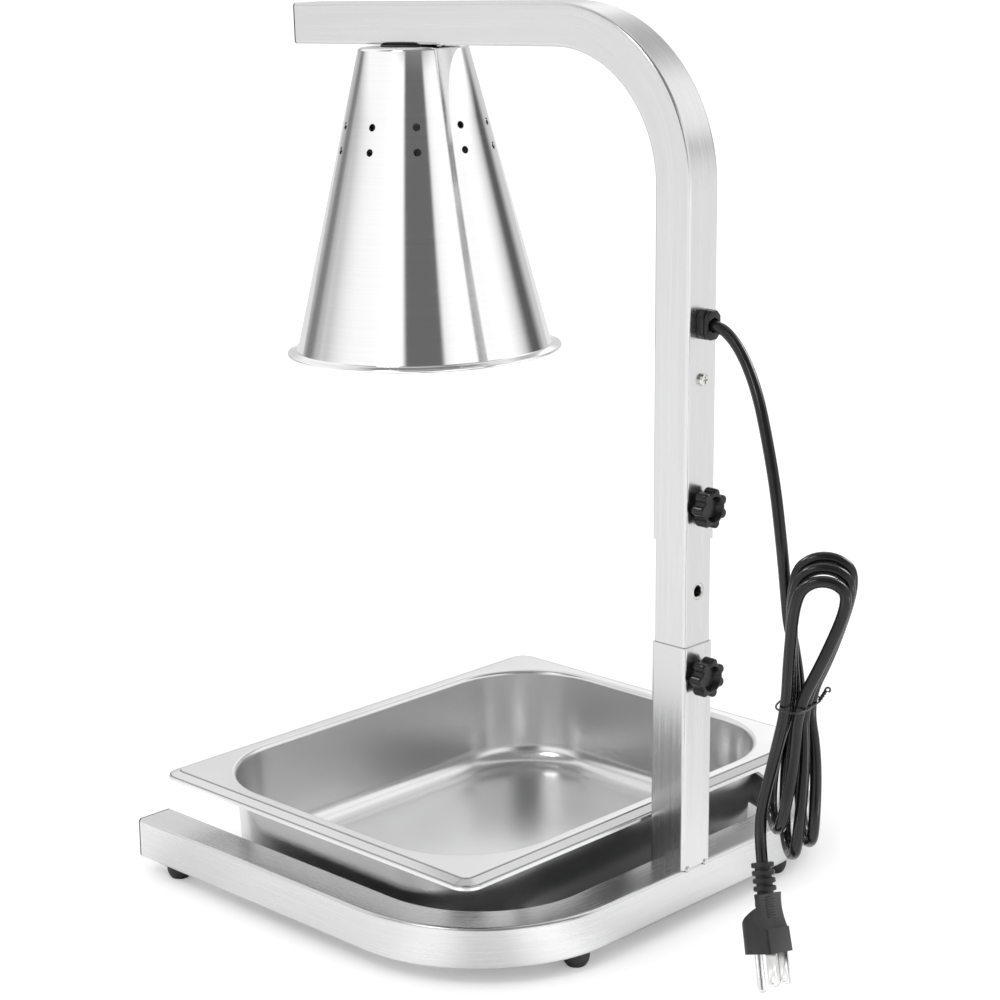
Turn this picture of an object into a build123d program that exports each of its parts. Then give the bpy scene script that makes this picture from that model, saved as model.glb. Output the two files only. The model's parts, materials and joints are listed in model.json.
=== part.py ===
from build123d import *
from math import asin, cos, degrees, pi, radians, sin, tan
import os

# Food heat lamp on a U-shaped tube stand, with a lift-out pan under its shade.
# Millimetres, +Z up. The open end of the U faces -Y, the crossbar and the post are at the +Y end.
# The origin is on the table, under the middle of the lamp's own box (the cord is left out of that box).

# Square tube stock
TUBE = 25.0
TUBE_CORNER = 2.0
TUBE_WALL = 1.0
INNER_TUBE = 22.8
INNER_CORNER = 1.4
INNER_WALL = 1.0
BEND_RADIUS = 86.0
TUBE_BORE = TUBE - 2 * TUBE_WALL

# Stand
FOOT_HEIGHT = 10.0
FOOT_RADIUS = 7.8
FOOT_TREAD = 5.6
FOOT_SINK = 4.0
FOOT_SINK_RADIUS = 3.8
FOOT_SCREW_RADIUS = 1.5
FOOT_SCREW_LENGTH = 9.5
FOOT_SCREW_HEAD = 2.2
BASE_WIDTH = 353.0
BASE_ARM_LENGTH = 286.0
FRONT_FOOT_BACK = 264.0
REAR_FOOT_X = 91.0
BASE_Z = FOOT_HEIGHT + TUBE / 2
BASE_TOP = FOOT_HEIGHT + TUBE
BASE_ARM_X = (BASE_WIDTH - TUBE) / 2

# Column
LOWER_POST_TOP = 170.4
HOLE_PITCH = 50.0
LOWER_KNOB_Z = 152.2
UPPER_KNOB_Z = LOWER_KNOB_Z + 2 * HOLE_PITCH
INNER_BOTTOM = 86.0
INNER_TOP = 268.0
UPPER_TUBE_BOTTOM = 231.6
INSERT_RADIUS = 4.9
INSERT_BORE = 3.3
INSERT_LENGTH = 9.0
INSERT_EDGE = 0.3
INSERT_MOUTH = 0.5
INSERT_STEPS = (-1, 0, 1, 2)
TACK_RADIUS = 2.0
TACK_HEIGHT = 0.8
TACK_X = 8.0
TACK_DRAFT = 40.0

# Knobs
KNOB_REACH = 10.4
KNOB_GAP = 0.2
KNOB_HUB_RADIUS = 6.5
KNOB_HUB = 2.2
KNOB_LOBES = 7
KNOB_CORE_RADIUS = 9.2
KNOB_LOBE_RADIUS = 2.9
KNOB_LOBE_AT = 8.8
KNOB_EDGE = 1.2
KNOB_DISH_RADIUS = 7.4
KNOB_DISH_FLOOR = 5.4
KNOB_DISH = 3.6
STUD_RADIUS = 3.0
STUD_HOLE = 3.4
STUD_TIP = 0.9
STUD_IN_KNOB = 5.4

# Lamp arm: the elbow is where the lines of the post and of the arm meet
ELBOW_Z = 519.3
ARM_DROOP = radians(1.75)
ARM_LENGTH = 306.2
SHADE_REACH = 214.1
TUBE_PLUG_RIM = 1.6
TUBE_PLUG_EASE = 0.6
TUBE_PLUG_EASE_DRAFT = 45.0
TUBE_PLUG_DEPTH = 12.0
TUBE_PLUG_FIT = 0.05
GLAND_Z = 356.6
GLAND_WIDTH = 11.0
GLAND_HEIGHT = 15.8
GLAND_CORNER = 3.4
GLAND_FLANGE = 5.2
GLAND_GROOVE = 0.5
GLAND_CAP = 2.4
GLAND_EDGE = 0.7
GLAND_NECK_RADIUS = 4.9
GLAND_NECK = 5.0
GLAND_BORE = 3.3
GLAND_MOUTH = 4.5
GLAND_MOUTH_DEPTH = 3.6
SHEATH_START = 2.0
EARTH_Z = 325.0
EARTH_HEAD_RADIUS = 3.6
EARTH_HEAD = 2.3
EARTH_SHANK_RADIUS = 2.0
EARTH_SHANK = 8.0
EARTH_NUT_FLATS = 7.0
EARTH_NUT = 3.2
CROSS_WIDTH = 0.9
CROSS_LENGTH = 4.2
CROSS_DEPTH = 1.1

# Lamp head, heights measured down from the underside of the arm along the shade's axis
GASKET_RADIUS = 19.6
GASKET = 0.8
SHADE_SHEET = 0.8
SHADE_ROOF_FLAT = 26.0
SHADE_ROOF_DROP = 0.5
SHADE_TOP_RADIUS = 33.0
SHADE_CONE_RADIUS = 78.1
SHADE_CONE_END = 183.6
SHADE_LIP_RADIUS = 83.7
SHADE_LIP_END = 184.9
SHADE_BEAD = 1.0
SHADE_TOP_ROUND = 1.8
SHADE_ROOF_ROUND = 20.0
SHADE_LIP_ROUND = 1.6
VENT_ROWS = (46.5, 61.0)
VENT_COUNT = 10
VENT_RADIUS = 2.3
VENT_START = 46.0
NIPPLE_RADIUS = 5.0
NIPPLE_BORE = 3.5
NIPPLE_UP = 5.4
NIPPLE_DOWN = 14.0
NIPPLE_CLEAR = 0.15
NUT_FLATS = 14.0
NUT_THICK = 4.0
LOCATING_AT = 22.0
LOCATING_RADIUS = 2.0
LOCATING_UP = 6.0
LOCATING_HEAD_RADIUS = 3.6
LOCATING_HEAD = 2.2
HOLDER_NECK_RADIUS = 17.0
HOLDER_RADIUS = 20.0
HOLDER_SHOULDER = 14.0
HOLDER_WALL = 5.7
HOLDER_CHAMBER_RADIUS = 12.0
HOLDER_CHAMBER_END = 18.0
HOLDER_WEB_END = 22.0
HOLDER_WEB_BORE = 2.6
HOLDER_SOCKET_RADIUS = 15.0
HOLDER_END = 56.0
SHELL_INNER = 13.08
SHELL_OUTER = 13.68
SHELL_PLATE = 0.6
SHELL_PLATE_BORE = 6.0
SHELL_END = 49.0
CONTACT_RADIUS = 4.0
CONTACT = 1.6
CAP_RADIUS = 13.0
CAP_TIP_RADIUS = 4.0
CAP_TIP_TOP = 24.0
CAP_TIP_END = 27.0
CAP_SHOULDER = 30.0
CAP_COLLAR_TOP = 50.0
CAP_END = 52.0
GLASS_NECK_RADIUS = 14.2
GLASS_NECK_END = 62.0
GLASS_RADIUS = 60.0
GLASS_RIM_TOP = 134.0
GLASS_RIM_END = 139.0
GLASS_CROWN = 150.0
GLASS_SHEET = 1.6
GLASS_WAIST_RADIUS = 45.0
GLASS_WAIST = 104.0

# Pan
PAN_BACK = 148.1
PAN_LENGTH = 325.0
PAN_WIDTH = 265.0
PAN_DEPTH = 65.0
PAN_SHEET = 0.9
PAN_OPEN_LENGTH = 294.0
PAN_OPEN_WIDTH = 234.0
PAN_OPEN_CORNER = 60.0
PAN_CORNER = 12.0
PAN_LIP = 7.2
PAN_LIP_FALL = 2.2
PAN_SKIRT = 2.6
PAN_DRAFT = 4.0
PAN_BOTTOM_ROUND = 14.0
PAN_MOUTH_ROUND = 3.0

# Cord, hank and plug. Across and toward are level: to the right, and out from the hank's broad face
CORD = 6.4
CORD_ARC_SHARE = 0.45
SUPPLY = 5.0
SUPPLY_BENDS = (9.0, BEND_RADIUS, 7.0)
HANK_OUT = 114.1
HANK_X = 41.1
HANK_WAIST_Z = 169.8
HANK_FACING = radians(43.9)
HANK_TURN_TOP = radians(10.0)
HANK_TURN_WAIST = radians(27.0)
HANK_TURN_LOW = radians(85.0)
HANK_TURN_TOP_AT = 50.0
HANK_TURN_LOW_AT = 60.0
HANK_LEAN = 0.2
HANK_LEAN_END = 62.0
HANK_TRAIL = 0.03
HANK_PITCH = 7.4
HANK_FAN = 0.0025
HANK_WAIST_HALF = 2.4
HANK_LOOPS = ((17.0, 78.0, 78.0), (16.0, 74.0, 85.0), (14.5, 69.0, 70.0))
HANK_LOW_HALF = 17.0
HANK_DRAW_UP = 26.0
HANK_DRAW_DOWN = -30.0
HANK_DRAW_UP_SHARE = 0.62
HANK_DRAW_DOWN_SHARE = 0.5
HANK_CLIMB_TOP = 42.0
HANK_CLIMB_SPAN = 85.0
HANK_START_HEIGHTS = ((54.0, 19.0, -2.0), (39.0, 15.5, -1.95))
HANK_NEAR_SPAN = 26.0
HANK_TAIL = ((-13.0, 9.5, -27.0), (-17.4, 8.0, -49.0))
LEAD_ROUTE = (
    (0.0, 24.0, GLAND_Z),
    (0.9, 33.0, 352.0),
    (2.9, 41.4, 345.4),
    (6.6, 50.8, 336.4),
    (12.2, 62.0, 322.6),
    (19.0, 73.4, 302.6),
    (26.4, 85.0, 280.0),
    (32.2, 93.6, 256.5),
)
LEAD_LAST_RUN = 18.0
TIE_BAND = 1.2
TIE_HEIGHT = 1.8
TIE_GAP = 2.2
TIE_TILT = radians(5.0)
TIE_TAIL_RADIUS = 1.0
TIE_TAIL = ((11.8, -9.8, -1.2), (15.5, -9.6, 4.0), (19.0, -9.0, 12.5))
PLUG_ACROSS = -18.7
PLUG_TOWARD = 12.0
PLUG_TOP = 84.0
PLUG_TILT = radians(4.6)
PLUG_PITCH = radians(22.0)
PLUG_YAW = radians(35.0)
RELIEF_LENGTH = 24.0
RELIEF_RADIUS = 6.2
RELIEF_CORE = 4.5
RELIEF_RIBS = 6
RELIEF_RIB_SHARE = 0.68
PLUG_WIDTH = 26.4
PLUG_FLAT = 6.6
PLUG_CORNER = 2.0
PLUG_GRIP_DOWN = 16.6
PLUG_GRIP_BACK = 1.2
PLUG_GRIP_FLAT = 2.8
PLUG_GRIP_HOLLOW = (2.7, 26.5)
PLUG_ARCH_DOWN = 23.6
PLUG_ARCH_MIDDLE = (-9.2, 27.4)
PLUG_ARCH_END = 36.0
PLUG_LEDGE_DOWN = 34.9
PLUG_LEDGE_FLAT = 4.4
PLUG_LEDGE_EDGE = 5.8
PLUG_FACE_DOWN = 48.0
GROUND_ACROSS = -8.0
GROUND_LOBE = 7.1
GROUND_RADIUS = 2.4
GROUND_LENGTH = 21.0
GROUND_TIP_ROUND = 2.1
BLADE = (6.3, 1.5, 17.5)
BLADE_ACROSS = 3.8
BLADE_SPACING = 12.7
BLADE_HOLE = 1.6
BLADE_HOLE_FROM_TIP = 3.4

# Places worked out from the sizes above
FRONT_REACH = (ARM_LENGTH + TUBE_PLUG_RIM) * cos(ARM_DROOP) + TUBE / 2 * sin(ARM_DROOP)
POST_Y = (FRONT_REACH - TUBE / 2 - KNOB_REACH) / 2
BASE_FRONT_Y = POST_Y - BASE_ARM_LENGTH
PAN_Y = POST_Y - PAN_BACK
FOOT_PLACES = [
    (BASE_ARM_X, POST_Y - FRONT_FOOT_BACK),
    (-BASE_ARM_X, POST_Y - FRONT_FOOT_BACK),
    (REAR_FOOT_X, POST_Y),
    (-REAR_FOOT_X, POST_Y),
]
INSERT_HEIGHTS = [LOWER_KNOB_Z + HOLE_PITCH * step for step in INSERT_STEPS]
ALONG_X = (1, 0, 0)
UP = Vector(0, 0, 1)
ARM_DIR = Vector(0, -cos(ARM_DROOP), -sin(ARM_DROOP))
ARM_UP = Vector(0, -sin(ARM_DROOP), cos(ARM_DROOP))
ELBOW = Vector(0, POST_Y, ELBOW_Z)
ARM_END = ELBOW + ARM_DIR * ARM_LENGTH
HEAD_POINT = ELBOW + ARM_DIR * SHADE_REACH - ARM_UP * (TUBE / 2)
HEAD_SIDE = Plane(origin=HEAD_POINT, x_dir=ALONG_X, z_dir=ARM_DIR)
HEAD_AXIS = Axis(HEAD_POINT, ARM_UP)
SHADE_ROOF = GASKET + SHADE_SHEET
HOLDER_TOP = SHADE_ROOF
NIPPLE_NUT_TOP = HOLDER_TOP + HOLDER_WALL
HANK_WAIST = Vector(HANK_X, POST_Y + HANK_OUT, HANK_WAIST_Z)
HANK_ACROSS = Vector(-sin(HANK_FACING), cos(HANK_FACING), 0)
HANK_TOWARD = Vector(cos(HANK_FACING), sin(HANK_FACING), 0)
GLAND_OUT = GLAND_FLANGE + GLAND_GROOVE + GLAND_CAP
CORD_START = Vector(0, POST_Y + TUBE / 2 + SHEATH_START, GLAND_Z)
PLUG_PITCHED = UP * cos(PLUG_PITCH) - HANK_TOWARD * sin(PLUG_PITCH)
PLUG_UP = PLUG_PITCHED * cos(PLUG_TILT) - HANK_ACROSS * sin(PLUG_TILT)
PLUG_RIGHT = HANK_ACROSS * cos(PLUG_TILT) + PLUG_PITCHED * sin(PLUG_TILT)
PLUG_SIDE = PLUG_RIGHT * cos(PLUG_YAW) + PLUG_RIGHT.cross(PLUG_UP) * sin(PLUG_YAW)
PLUG_OVER = HANK_WAIST + HANK_ACROSS * PLUG_ACROSS + HANK_TOWARD * PLUG_TOWARD
PLUG_HEAD = PLUG_OVER + UP * (PLUG_TOP - HANK_WAIST_Z)
OCTAGON = tan(pi / 8)

os.makedirs("parts", exist_ok=True)


def save(piece, name):
    """Labels a finished piece and writes it under its own name."""
    piece.part.label = name
    export_step(piece.part, f"parts/{name}.step")


def rear_face(height, out=0.0):
    """Gives the plane of the column's rear face at a height, moved outwards."""
    return Plane(origin=(0, POST_Y + TUBE / 2 + out, height), x_dir=ALONG_X, z_dir=(0, 1, 0))


def head_plane(down):
    """Gives the plane square to the shade's axis, at a distance under the arm."""
    return Plane(origin=HEAD_POINT - ARM_UP * down, x_dir=ALONG_X, z_dir=ARM_UP)


def plug_plane(down, across=0.0):
    """Gives a plane square to the mains plug's axis, at a distance under its top, with X to its flat side."""
    return Plane(origin=PLUG_HEAD - PLUG_UP * down + PLUG_SIDE * across, x_dir=PLUG_SIDE, z_dir=PLUG_UP)


def tube_section(plane, side, corner, wall):
    """Draws the hollow square section of a tube."""
    with BuildSketch(plane) as section:
        RectangleRounded(side, side, corner)
        RectangleRounded(side - 2 * wall, side - 2 * wall, corner - wall, mode=Mode.SUBTRACT)
    return section.sketch


def round_bar(plane, radius, length, mode=Mode.ADD):
    """Adds a round bar to the current piece, or cuts a round hole in it."""
    with BuildSketch(plane) as disc:
        Circle(radius)
    extrude(disc.sketch, amount=length, mode=mode)


def turn(outline, plane, axis, mode=Mode.ADD):
    """Turns a closed outline of (radius, height) points about an axis."""
    with BuildSketch(plane) as section:
        with BuildLine():
            Polyline(*outline, close=True)
        make_face()
    revolve(section.sketch, axis=axis, mode=mode)


def hex_nut(plane, flats, bore, thick):
    """Adds a hexagon nut to the current piece."""
    with BuildSketch(plane) as section:
        RegularPolygon(flats / 2, 6, major_radius=False)
        Circle(bore, mode=Mode.SUBTRACT)
    extrude(section.sketch, amount=thick)


def tube_plug(plane):
    """Adds a push-in plug to the current piece: an eased rim on the tube's end and a block in its bore."""
    side = TUBE_BORE - 2 * TUBE_PLUG_FIT
    with BuildSketch(plane) as rim:
        RectangleRounded(TUBE, TUBE, TUBE_CORNER)
    extrude(rim.sketch, amount=TUBE_PLUG_RIM - TUBE_PLUG_EASE)
    with BuildSketch(plane.offset(TUBE_PLUG_RIM - TUBE_PLUG_EASE)) as eased:
        RectangleRounded(TUBE, TUBE, TUBE_CORNER)
    extrude(eased.sketch, amount=TUBE_PLUG_EASE, taper=TUBE_PLUG_EASE_DRAFT)
    with BuildSketch(plane) as block:
        RectangleRounded(side, side, TUBE_CORNER - TUBE_WALL)
    extrude(block.sketch, amount=-TUBE_PLUG_DEPTH)


def cord_path(points, name):
    """Joins a route's points by straight runs and arcs that are as large as the runs allow."""
    radii = []
    for before, here, after in zip(points, points[1:], points[2:]):
        bend = radians((here - before).get_angle(after - here))
        shorter = min((here - before).length, (after - here).length)
        radii.append(CORD_ARC_SHARE * shorter / tan(bend / 2))
    path = FilletPolyline(*points, radius=radii)
    print(f"{name}: length {path.length:.1f}, arc radii", [round(radius, 1) for radius in radii])
    return path


def round_cord(path, radius):
    """Sweeps a round cord along a path, in the current piece."""
    with BuildSketch(Plane(origin=path @ 0, z_dir=path % 0)) as section:
        Circle(radius)
    sweep(section.sketch, path=path)


def print_cord(piece, path, radius, name):
    """Prints a cord's volume beside its section times its length."""
    expected = pi * radius ** 2 * path.length
    print(f"{name}: volume {piece.part.volume:.0f}, section times length {expected:.0f}")


# Stand: bent base tube, its end plugs, feet and foot screws
with BuildPart() as base_frame:
    with BuildLine() as base_path:
        FilletPolyline(
            (BASE_ARM_X, BASE_FRONT_Y, BASE_Z),
            (BASE_ARM_X, POST_Y, BASE_Z),
            (-BASE_ARM_X, POST_Y, BASE_Z),
            (-BASE_ARM_X, BASE_FRONT_Y, BASE_Z),
            radius=BEND_RADIUS,
        )
    base_start = Plane(origin=base_path.line @ 0, x_dir=ALONG_X, z_dir=base_path.line % 0)
    sweep(tube_section(base_start, TUBE, TUBE_CORNER, TUBE_WALL), path=base_path.line)
    for x, y in FOOT_PLACES:
        underside = Plane(origin=(x, y, FOOT_HEIGHT))
        round_bar(underside, FOOT_SCREW_RADIUS, 2 * TUBE_WALL, mode=Mode.SUBTRACT)
save(base_frame, "base_frame")

with BuildPart() as base_end_plugs:
    for x in (BASE_ARM_X, -BASE_ARM_X):
        tube_plug(Plane(origin=(x, BASE_FRONT_Y, BASE_Z), x_dir=ALONG_X, z_dir=(0, -1, 0)))
save(base_end_plugs, "base_end_plugs")

with BuildPart() as rubber_feet:
    for x, y in FOOT_PLACES:
        with BuildSketch(Plane(origin=(x, y, 0), x_dir=ALONG_X, z_dir=(0, -1, 0))) as foot_section:
            with BuildLine():
                Polyline(
                    (FOOT_TREAD, 0),
                    (FOOT_SINK_RADIUS, 0),
                    (FOOT_SINK_RADIUS, FOOT_SINK),
                    (FOOT_SCREW_RADIUS, FOOT_SINK),
                    (FOOT_SCREW_RADIUS, FOOT_HEIGHT),
                    (FOOT_RADIUS, FOOT_HEIGHT),
                    (FOOT_RADIUS, FOOT_HEIGHT / 2),
                )
                RadiusArc((FOOT_RADIUS, FOOT_HEIGHT / 2), (FOOT_TREAD, 0), FOOT_HEIGHT)
            make_face()
        revolve(foot_section.sketch, axis=Axis((x, y, 0), (0, 0, 1)))
save(rubber_feet, "rubber_feet")

with BuildPart() as foot_screws:
    for x, y in FOOT_PLACES:
        seat = Plane(origin=(x, y, FOOT_SINK))
        round_bar(seat, FOOT_SCREW_RADIUS, FOOT_SCREW_LENGTH)
        round_bar(seat, 2 * FOOT_SCREW_RADIUS, -FOOT_SCREW_HEAD)
save(foot_screws, "foot_screws")

# Column: fixed lower post with its welds, sliding inner post with its threaded inserts
with BuildPart() as lower_post:
    post_foot = Plane(origin=(0, POST_Y, BASE_TOP))
    extrude(tube_section(post_foot, TUBE, TUBE_CORNER, TUBE_WALL), amount=LOWER_POST_TOP - BASE_TOP)
    round_bar(rear_face(LOWER_KNOB_Z), STUD_HOLE, -2 * TUBE_WALL, mode=Mode.SUBTRACT)
save(lower_post, "lower_post")

with BuildPart() as weld_tacks:
    with BuildSketch(rear_face(BASE_TOP)):
        with Locations((-TACK_X, 0), (TACK_X, 0)):
            Circle(TACK_RADIUS)
    extrude(amount=TACK_HEIGHT, taper=TACK_DRAFT)
    mirror(about=Plane(origin=(0, POST_Y, 0), z_dir=(0, 1, 0)))
save(weld_tacks, "weld_tacks")

with BuildPart() as inner_post:
    inner_foot = Plane(origin=(0, POST_Y, INNER_BOTTOM))
    extrude(tube_section(inner_foot, INNER_TUBE, INNER_CORNER, INNER_WALL), amount=INNER_TOP - INNER_BOTTOM)
    for height in INSERT_HEIGHTS:
        inner_rear = Plane(origin=(0, POST_Y + INNER_TUBE / 2, height), x_dir=ALONG_X, z_dir=(0, 1, 0))
        round_bar(inner_rear, INSERT_RADIUS, -2 * INNER_WALL, mode=Mode.SUBTRACT)
save(inner_post, "inner_post")

with BuildPart() as threaded_inserts:
    for height in INSERT_HEIGHTS:
        inner_rear = Plane(origin=(0, POST_Y + INNER_TUBE / 2, height), x_dir=ALONG_X, z_dir=(0, 1, 0))
        round_bar(inner_rear, INSERT_RADIUS, -INSERT_LENGTH)
        round_bar(inner_rear, INSERT_BORE, -INSERT_LENGTH, mode=Mode.SUBTRACT)
    insert_rims = threaded_inserts.edges().group_by(Axis.Y)[-1].sort_by(SortBy.RADIUS)
    chamfer(insert_rims[:len(INSERT_HEIGHTS)], INSERT_MOUTH)
    chamfer(insert_rims[len(INSERT_HEIGHTS):], INSERT_EDGE)
save(threaded_inserts, "threaded_inserts")

# Clamp knobs with their studs; each stud is drawn backed out to the inner post's face
for place, height in (("lower", LOWER_KNOB_Z), ("upper", UPPER_KNOB_Z)):
    with BuildPart() as knob:
        with BuildSketch(rear_face(height, KNOB_GAP + KNOB_HUB)):
            Circle(KNOB_CORE_RADIUS)
            with PolarLocations(KNOB_LOBE_AT, KNOB_LOBES):
                Circle(KNOB_LOBE_RADIUS)
        extrude(amount=KNOB_REACH - KNOB_GAP - KNOB_HUB)
        head_rims = knob.faces().filter_by(Axis.Y)
        fillet(head_rims.edges(), KNOB_EDGE)
        round_bar(rear_face(height, KNOB_GAP), KNOB_HUB_RADIUS, KNOB_HUB)
        knob_side = Plane(origin=(0, POST_Y + TUBE / 2 + KNOB_REACH, height))
        turn(
            [(0, 0), (KNOB_DISH_RADIUS, 0), (KNOB_DISH_FLOOR, -KNOB_DISH), (0, -KNOB_DISH)],
            knob_side,
            Axis(knob_side.origin, (0, 1, 0)),
            mode=Mode.SUBTRACT,
        )
        round_bar(rear_face(height, KNOB_GAP), STUD_RADIUS, STUD_IN_KNOB, mode=Mode.SUBTRACT)
    save(knob, f"{place}_knob")
    with BuildPart() as stud:
        round_bar(rear_face(height, -STUD_TIP), STUD_RADIUS, STUD_TIP + KNOB_GAP + STUD_IN_KNOB)
    save(stud, f"{place}_knob_stud")

# Lamp arm: upper tube, bend and arm in one length, with the holes for what it carries
with BuildPart() as lamp_arm:
    with BuildLine() as arm_path:
        FilletPolyline((0, POST_Y, UPPER_TUBE_BOTTOM), ELBOW, ARM_END, radius=BEND_RADIUS)
    arm_start = Plane(origin=arm_path.line @ 0, x_dir=ALONG_X, z_dir=UP)
    sweep(tube_section(arm_start, TUBE, TUBE_CORNER, TUBE_WALL), path=arm_path.line)
    round_bar(rear_face(UPPER_KNOB_Z), STUD_HOLE, -2 * TUBE_WALL, mode=Mode.SUBTRACT)
    round_bar(rear_face(EARTH_Z), EARTH_SHANK_RADIUS, -2 * TUBE_WALL, mode=Mode.SUBTRACT)
    round_bar(rear_face(GLAND_Z), GLAND_NECK_RADIUS, -2 * TUBE_WALL, mode=Mode.SUBTRACT)
    round_bar(head_plane(0), NIPPLE_RADIUS, 2 * TUBE_WALL, mode=Mode.SUBTRACT)
    locating_foot = head_plane(0).shift_origin(HEAD_POINT - ARM_DIR * LOCATING_AT)
    round_bar(locating_foot, LOCATING_RADIUS, 2 * TUBE_WALL, mode=Mode.SUBTRACT)
save(lamp_arm, "lamp_arm")

with BuildPart() as arm_end_plug:
    tube_plug(Plane(origin=ARM_END, x_dir=ALONG_X, z_dir=ARM_DIR))
save(arm_end_plug, "arm_end_plug")

# Cord entry: strain-relief gland, earth screw and nut, and the cable inside the tube
with BuildPart() as cord_gland:
    for start, end, set_in in (
        (0.0, GLAND_FLANGE, 0.0),
        (GLAND_FLANGE, GLAND_FLANGE + GLAND_GROOVE, GLAND_GROOVE),
        (GLAND_FLANGE + GLAND_GROOVE, GLAND_OUT, 0.0),
    ):
        with BuildSketch(rear_face(GLAND_Z, start)) as gland_section:
            gland_block = Rectangle(GLAND_WIDTH - 2 * set_in, GLAND_HEIGHT - 2 * set_in)
            chamfer(gland_block.vertices(), GLAND_CORNER)
        extrude(gland_section.sketch, amount=end - start)
    chamfer(cord_gland.faces().sort_by(Axis.Y)[-1].edges(), GLAND_EDGE)
    round_bar(rear_face(GLAND_Z), GLAND_NECK_RADIUS, -GLAND_NECK)
    round_bar(rear_face(GLAND_Z, -GLAND_NECK), GLAND_BORE, TUBE, mode=Mode.SUBTRACT)
    gland_face = rear_face(GLAND_Z, GLAND_OUT)
    turn(
        [(0, 0), (GLAND_MOUTH, 0), (GLAND_BORE, -GLAND_MOUTH_DEPTH), (0, -GLAND_MOUTH_DEPTH)],
        Plane(origin=gland_face.origin),
        Axis(gland_face.origin, (0, 1, 0)),
        mode=Mode.SUBTRACT,
    )
save(cord_gland, "cord_gland")

with BuildPart() as earth_screw:
    with BuildSketch(rear_face(EARTH_Z)):
        Circle(EARTH_HEAD_RADIUS)
    extrude(amount=EARTH_HEAD)
    fillet(earth_screw.faces().sort_by(Axis.Y)[-1].edges(), EARTH_HEAD / 2)
    with BuildSketch(rear_face(EARTH_Z, EARTH_HEAD)):
        Rectangle(CROSS_LENGTH, CROSS_WIDTH)
        Rectangle(CROSS_WIDTH, CROSS_LENGTH)
    extrude(amount=-CROSS_DEPTH, mode=Mode.SUBTRACT)
    round_bar(rear_face(EARTH_Z), EARTH_SHANK_RADIUS, -EARTH_SHANK)
save(earth_screw, "earth_screw")

with BuildPart() as earth_nut:
    hex_nut(rear_face(EARTH_Z, -TUBE_WALL), EARTH_NUT_FLATS, EARTH_SHANK_RADIUS, -EARTH_NUT)
save(earth_nut, "earth_nut")

with BuildPart() as supply_cable:
    with BuildLine() as supply_path:
        FilletPolyline(
            CORD_START,
            (0, POST_Y, GLAND_Z),
            ELBOW,
            HEAD_POINT + ARM_UP * (TUBE / 2),
            HEAD_POINT - ARM_UP * NIPPLE_DOWN,
            radius=SUPPLY_BENDS,
        )
    round_cord(supply_path.wire(), SUPPLY / 2)
print_cord(supply_cable, supply_path.wire(), SUPPLY / 2, "supply_cable")
save(supply_cable, "supply_cable")

# Lamp head: what hangs the shade on the arm
with BuildPart() as shade_gasket:
    round_bar(head_plane(0), GASKET_RADIUS, -GASKET)
    round_bar(head_plane(0), NIPPLE_RADIUS + NIPPLE_CLEAR, -GASKET, mode=Mode.SUBTRACT)
save(shade_gasket, "shade_gasket")

with BuildPart() as lamp_nipple:
    round_bar(head_plane(-NIPPLE_UP), NIPPLE_RADIUS, -NIPPLE_UP - NIPPLE_DOWN)
    round_bar(head_plane(-NIPPLE_UP), NIPPLE_BORE, -NIPPLE_UP - NIPPLE_DOWN, mode=Mode.SUBTRACT)
save(lamp_nipple, "lamp_nipple")

with BuildPart() as nipple_nuts:
    hex_nut(head_plane(-TUBE_WALL), NUT_FLATS, NIPPLE_RADIUS, NUT_THICK)
    hex_nut(head_plane(NIPPLE_NUT_TOP), NUT_FLATS, NIPPLE_RADIUS, -NUT_THICK)
save(nipple_nuts, "nipple_nuts")

with BuildPart() as locating_screw:
    round_bar(locating_foot.offset(-SHADE_ROOF), LOCATING_RADIUS, SHADE_ROOF + LOCATING_UP)
    round_bar(locating_foot.offset(-SHADE_ROOF), LOCATING_HEAD_RADIUS, -LOCATING_HEAD)
save(locating_screw, "locating_screw")

# Shade: a turned sheet, flat on top, a cone with two rows of vents and a flared, beaded rim
with BuildPart() as lamp_shade:
    with BuildSketch(HEAD_SIDE):
        with BuildLine():
            FilletPolyline(
                (NIPPLE_RADIUS + NIPPLE_CLEAR, -GASKET - SHADE_SHEET / 2),
                (SHADE_ROOF_FLAT, -GASKET - SHADE_SHEET / 2),
                (SHADE_TOP_RADIUS, -GASKET - SHADE_SHEET / 2 - SHADE_ROOF_DROP),
                (SHADE_CONE_RADIUS, -SHADE_CONE_END),
                (SHADE_LIP_RADIUS, -SHADE_LIP_END),
                radius=(SHADE_ROOF_ROUND, SHADE_TOP_ROUND, SHADE_LIP_ROUND),
            )
        trace(line_width=SHADE_SHEET)
        with Locations((SHADE_LIP_RADIUS, -SHADE_LIP_END)):
            Circle(SHADE_BEAD)
    revolve(axis=HEAD_AXIS)
    round_bar(locating_foot, LOCATING_RADIUS + NIPPLE_CLEAR, -2 * SHADE_ROOF, mode=Mode.SUBTRACT)
    for down in VENT_ROWS:
        for step in range(VENT_COUNT):
            around = radians(VENT_START + step * 360 / VENT_COUNT)
            outward = HEAD_SIDE.x_dir * cos(around) - ARM_DIR * sin(around)
            vent = Plane(origin=HEAD_POINT - ARM_UP * down, z_dir=outward)
            round_bar(vent, VENT_RADIUS, SHADE_CONE_RADIUS, mode=Mode.SUBTRACT)
save(lamp_shade, "lamp_shade")

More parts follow.
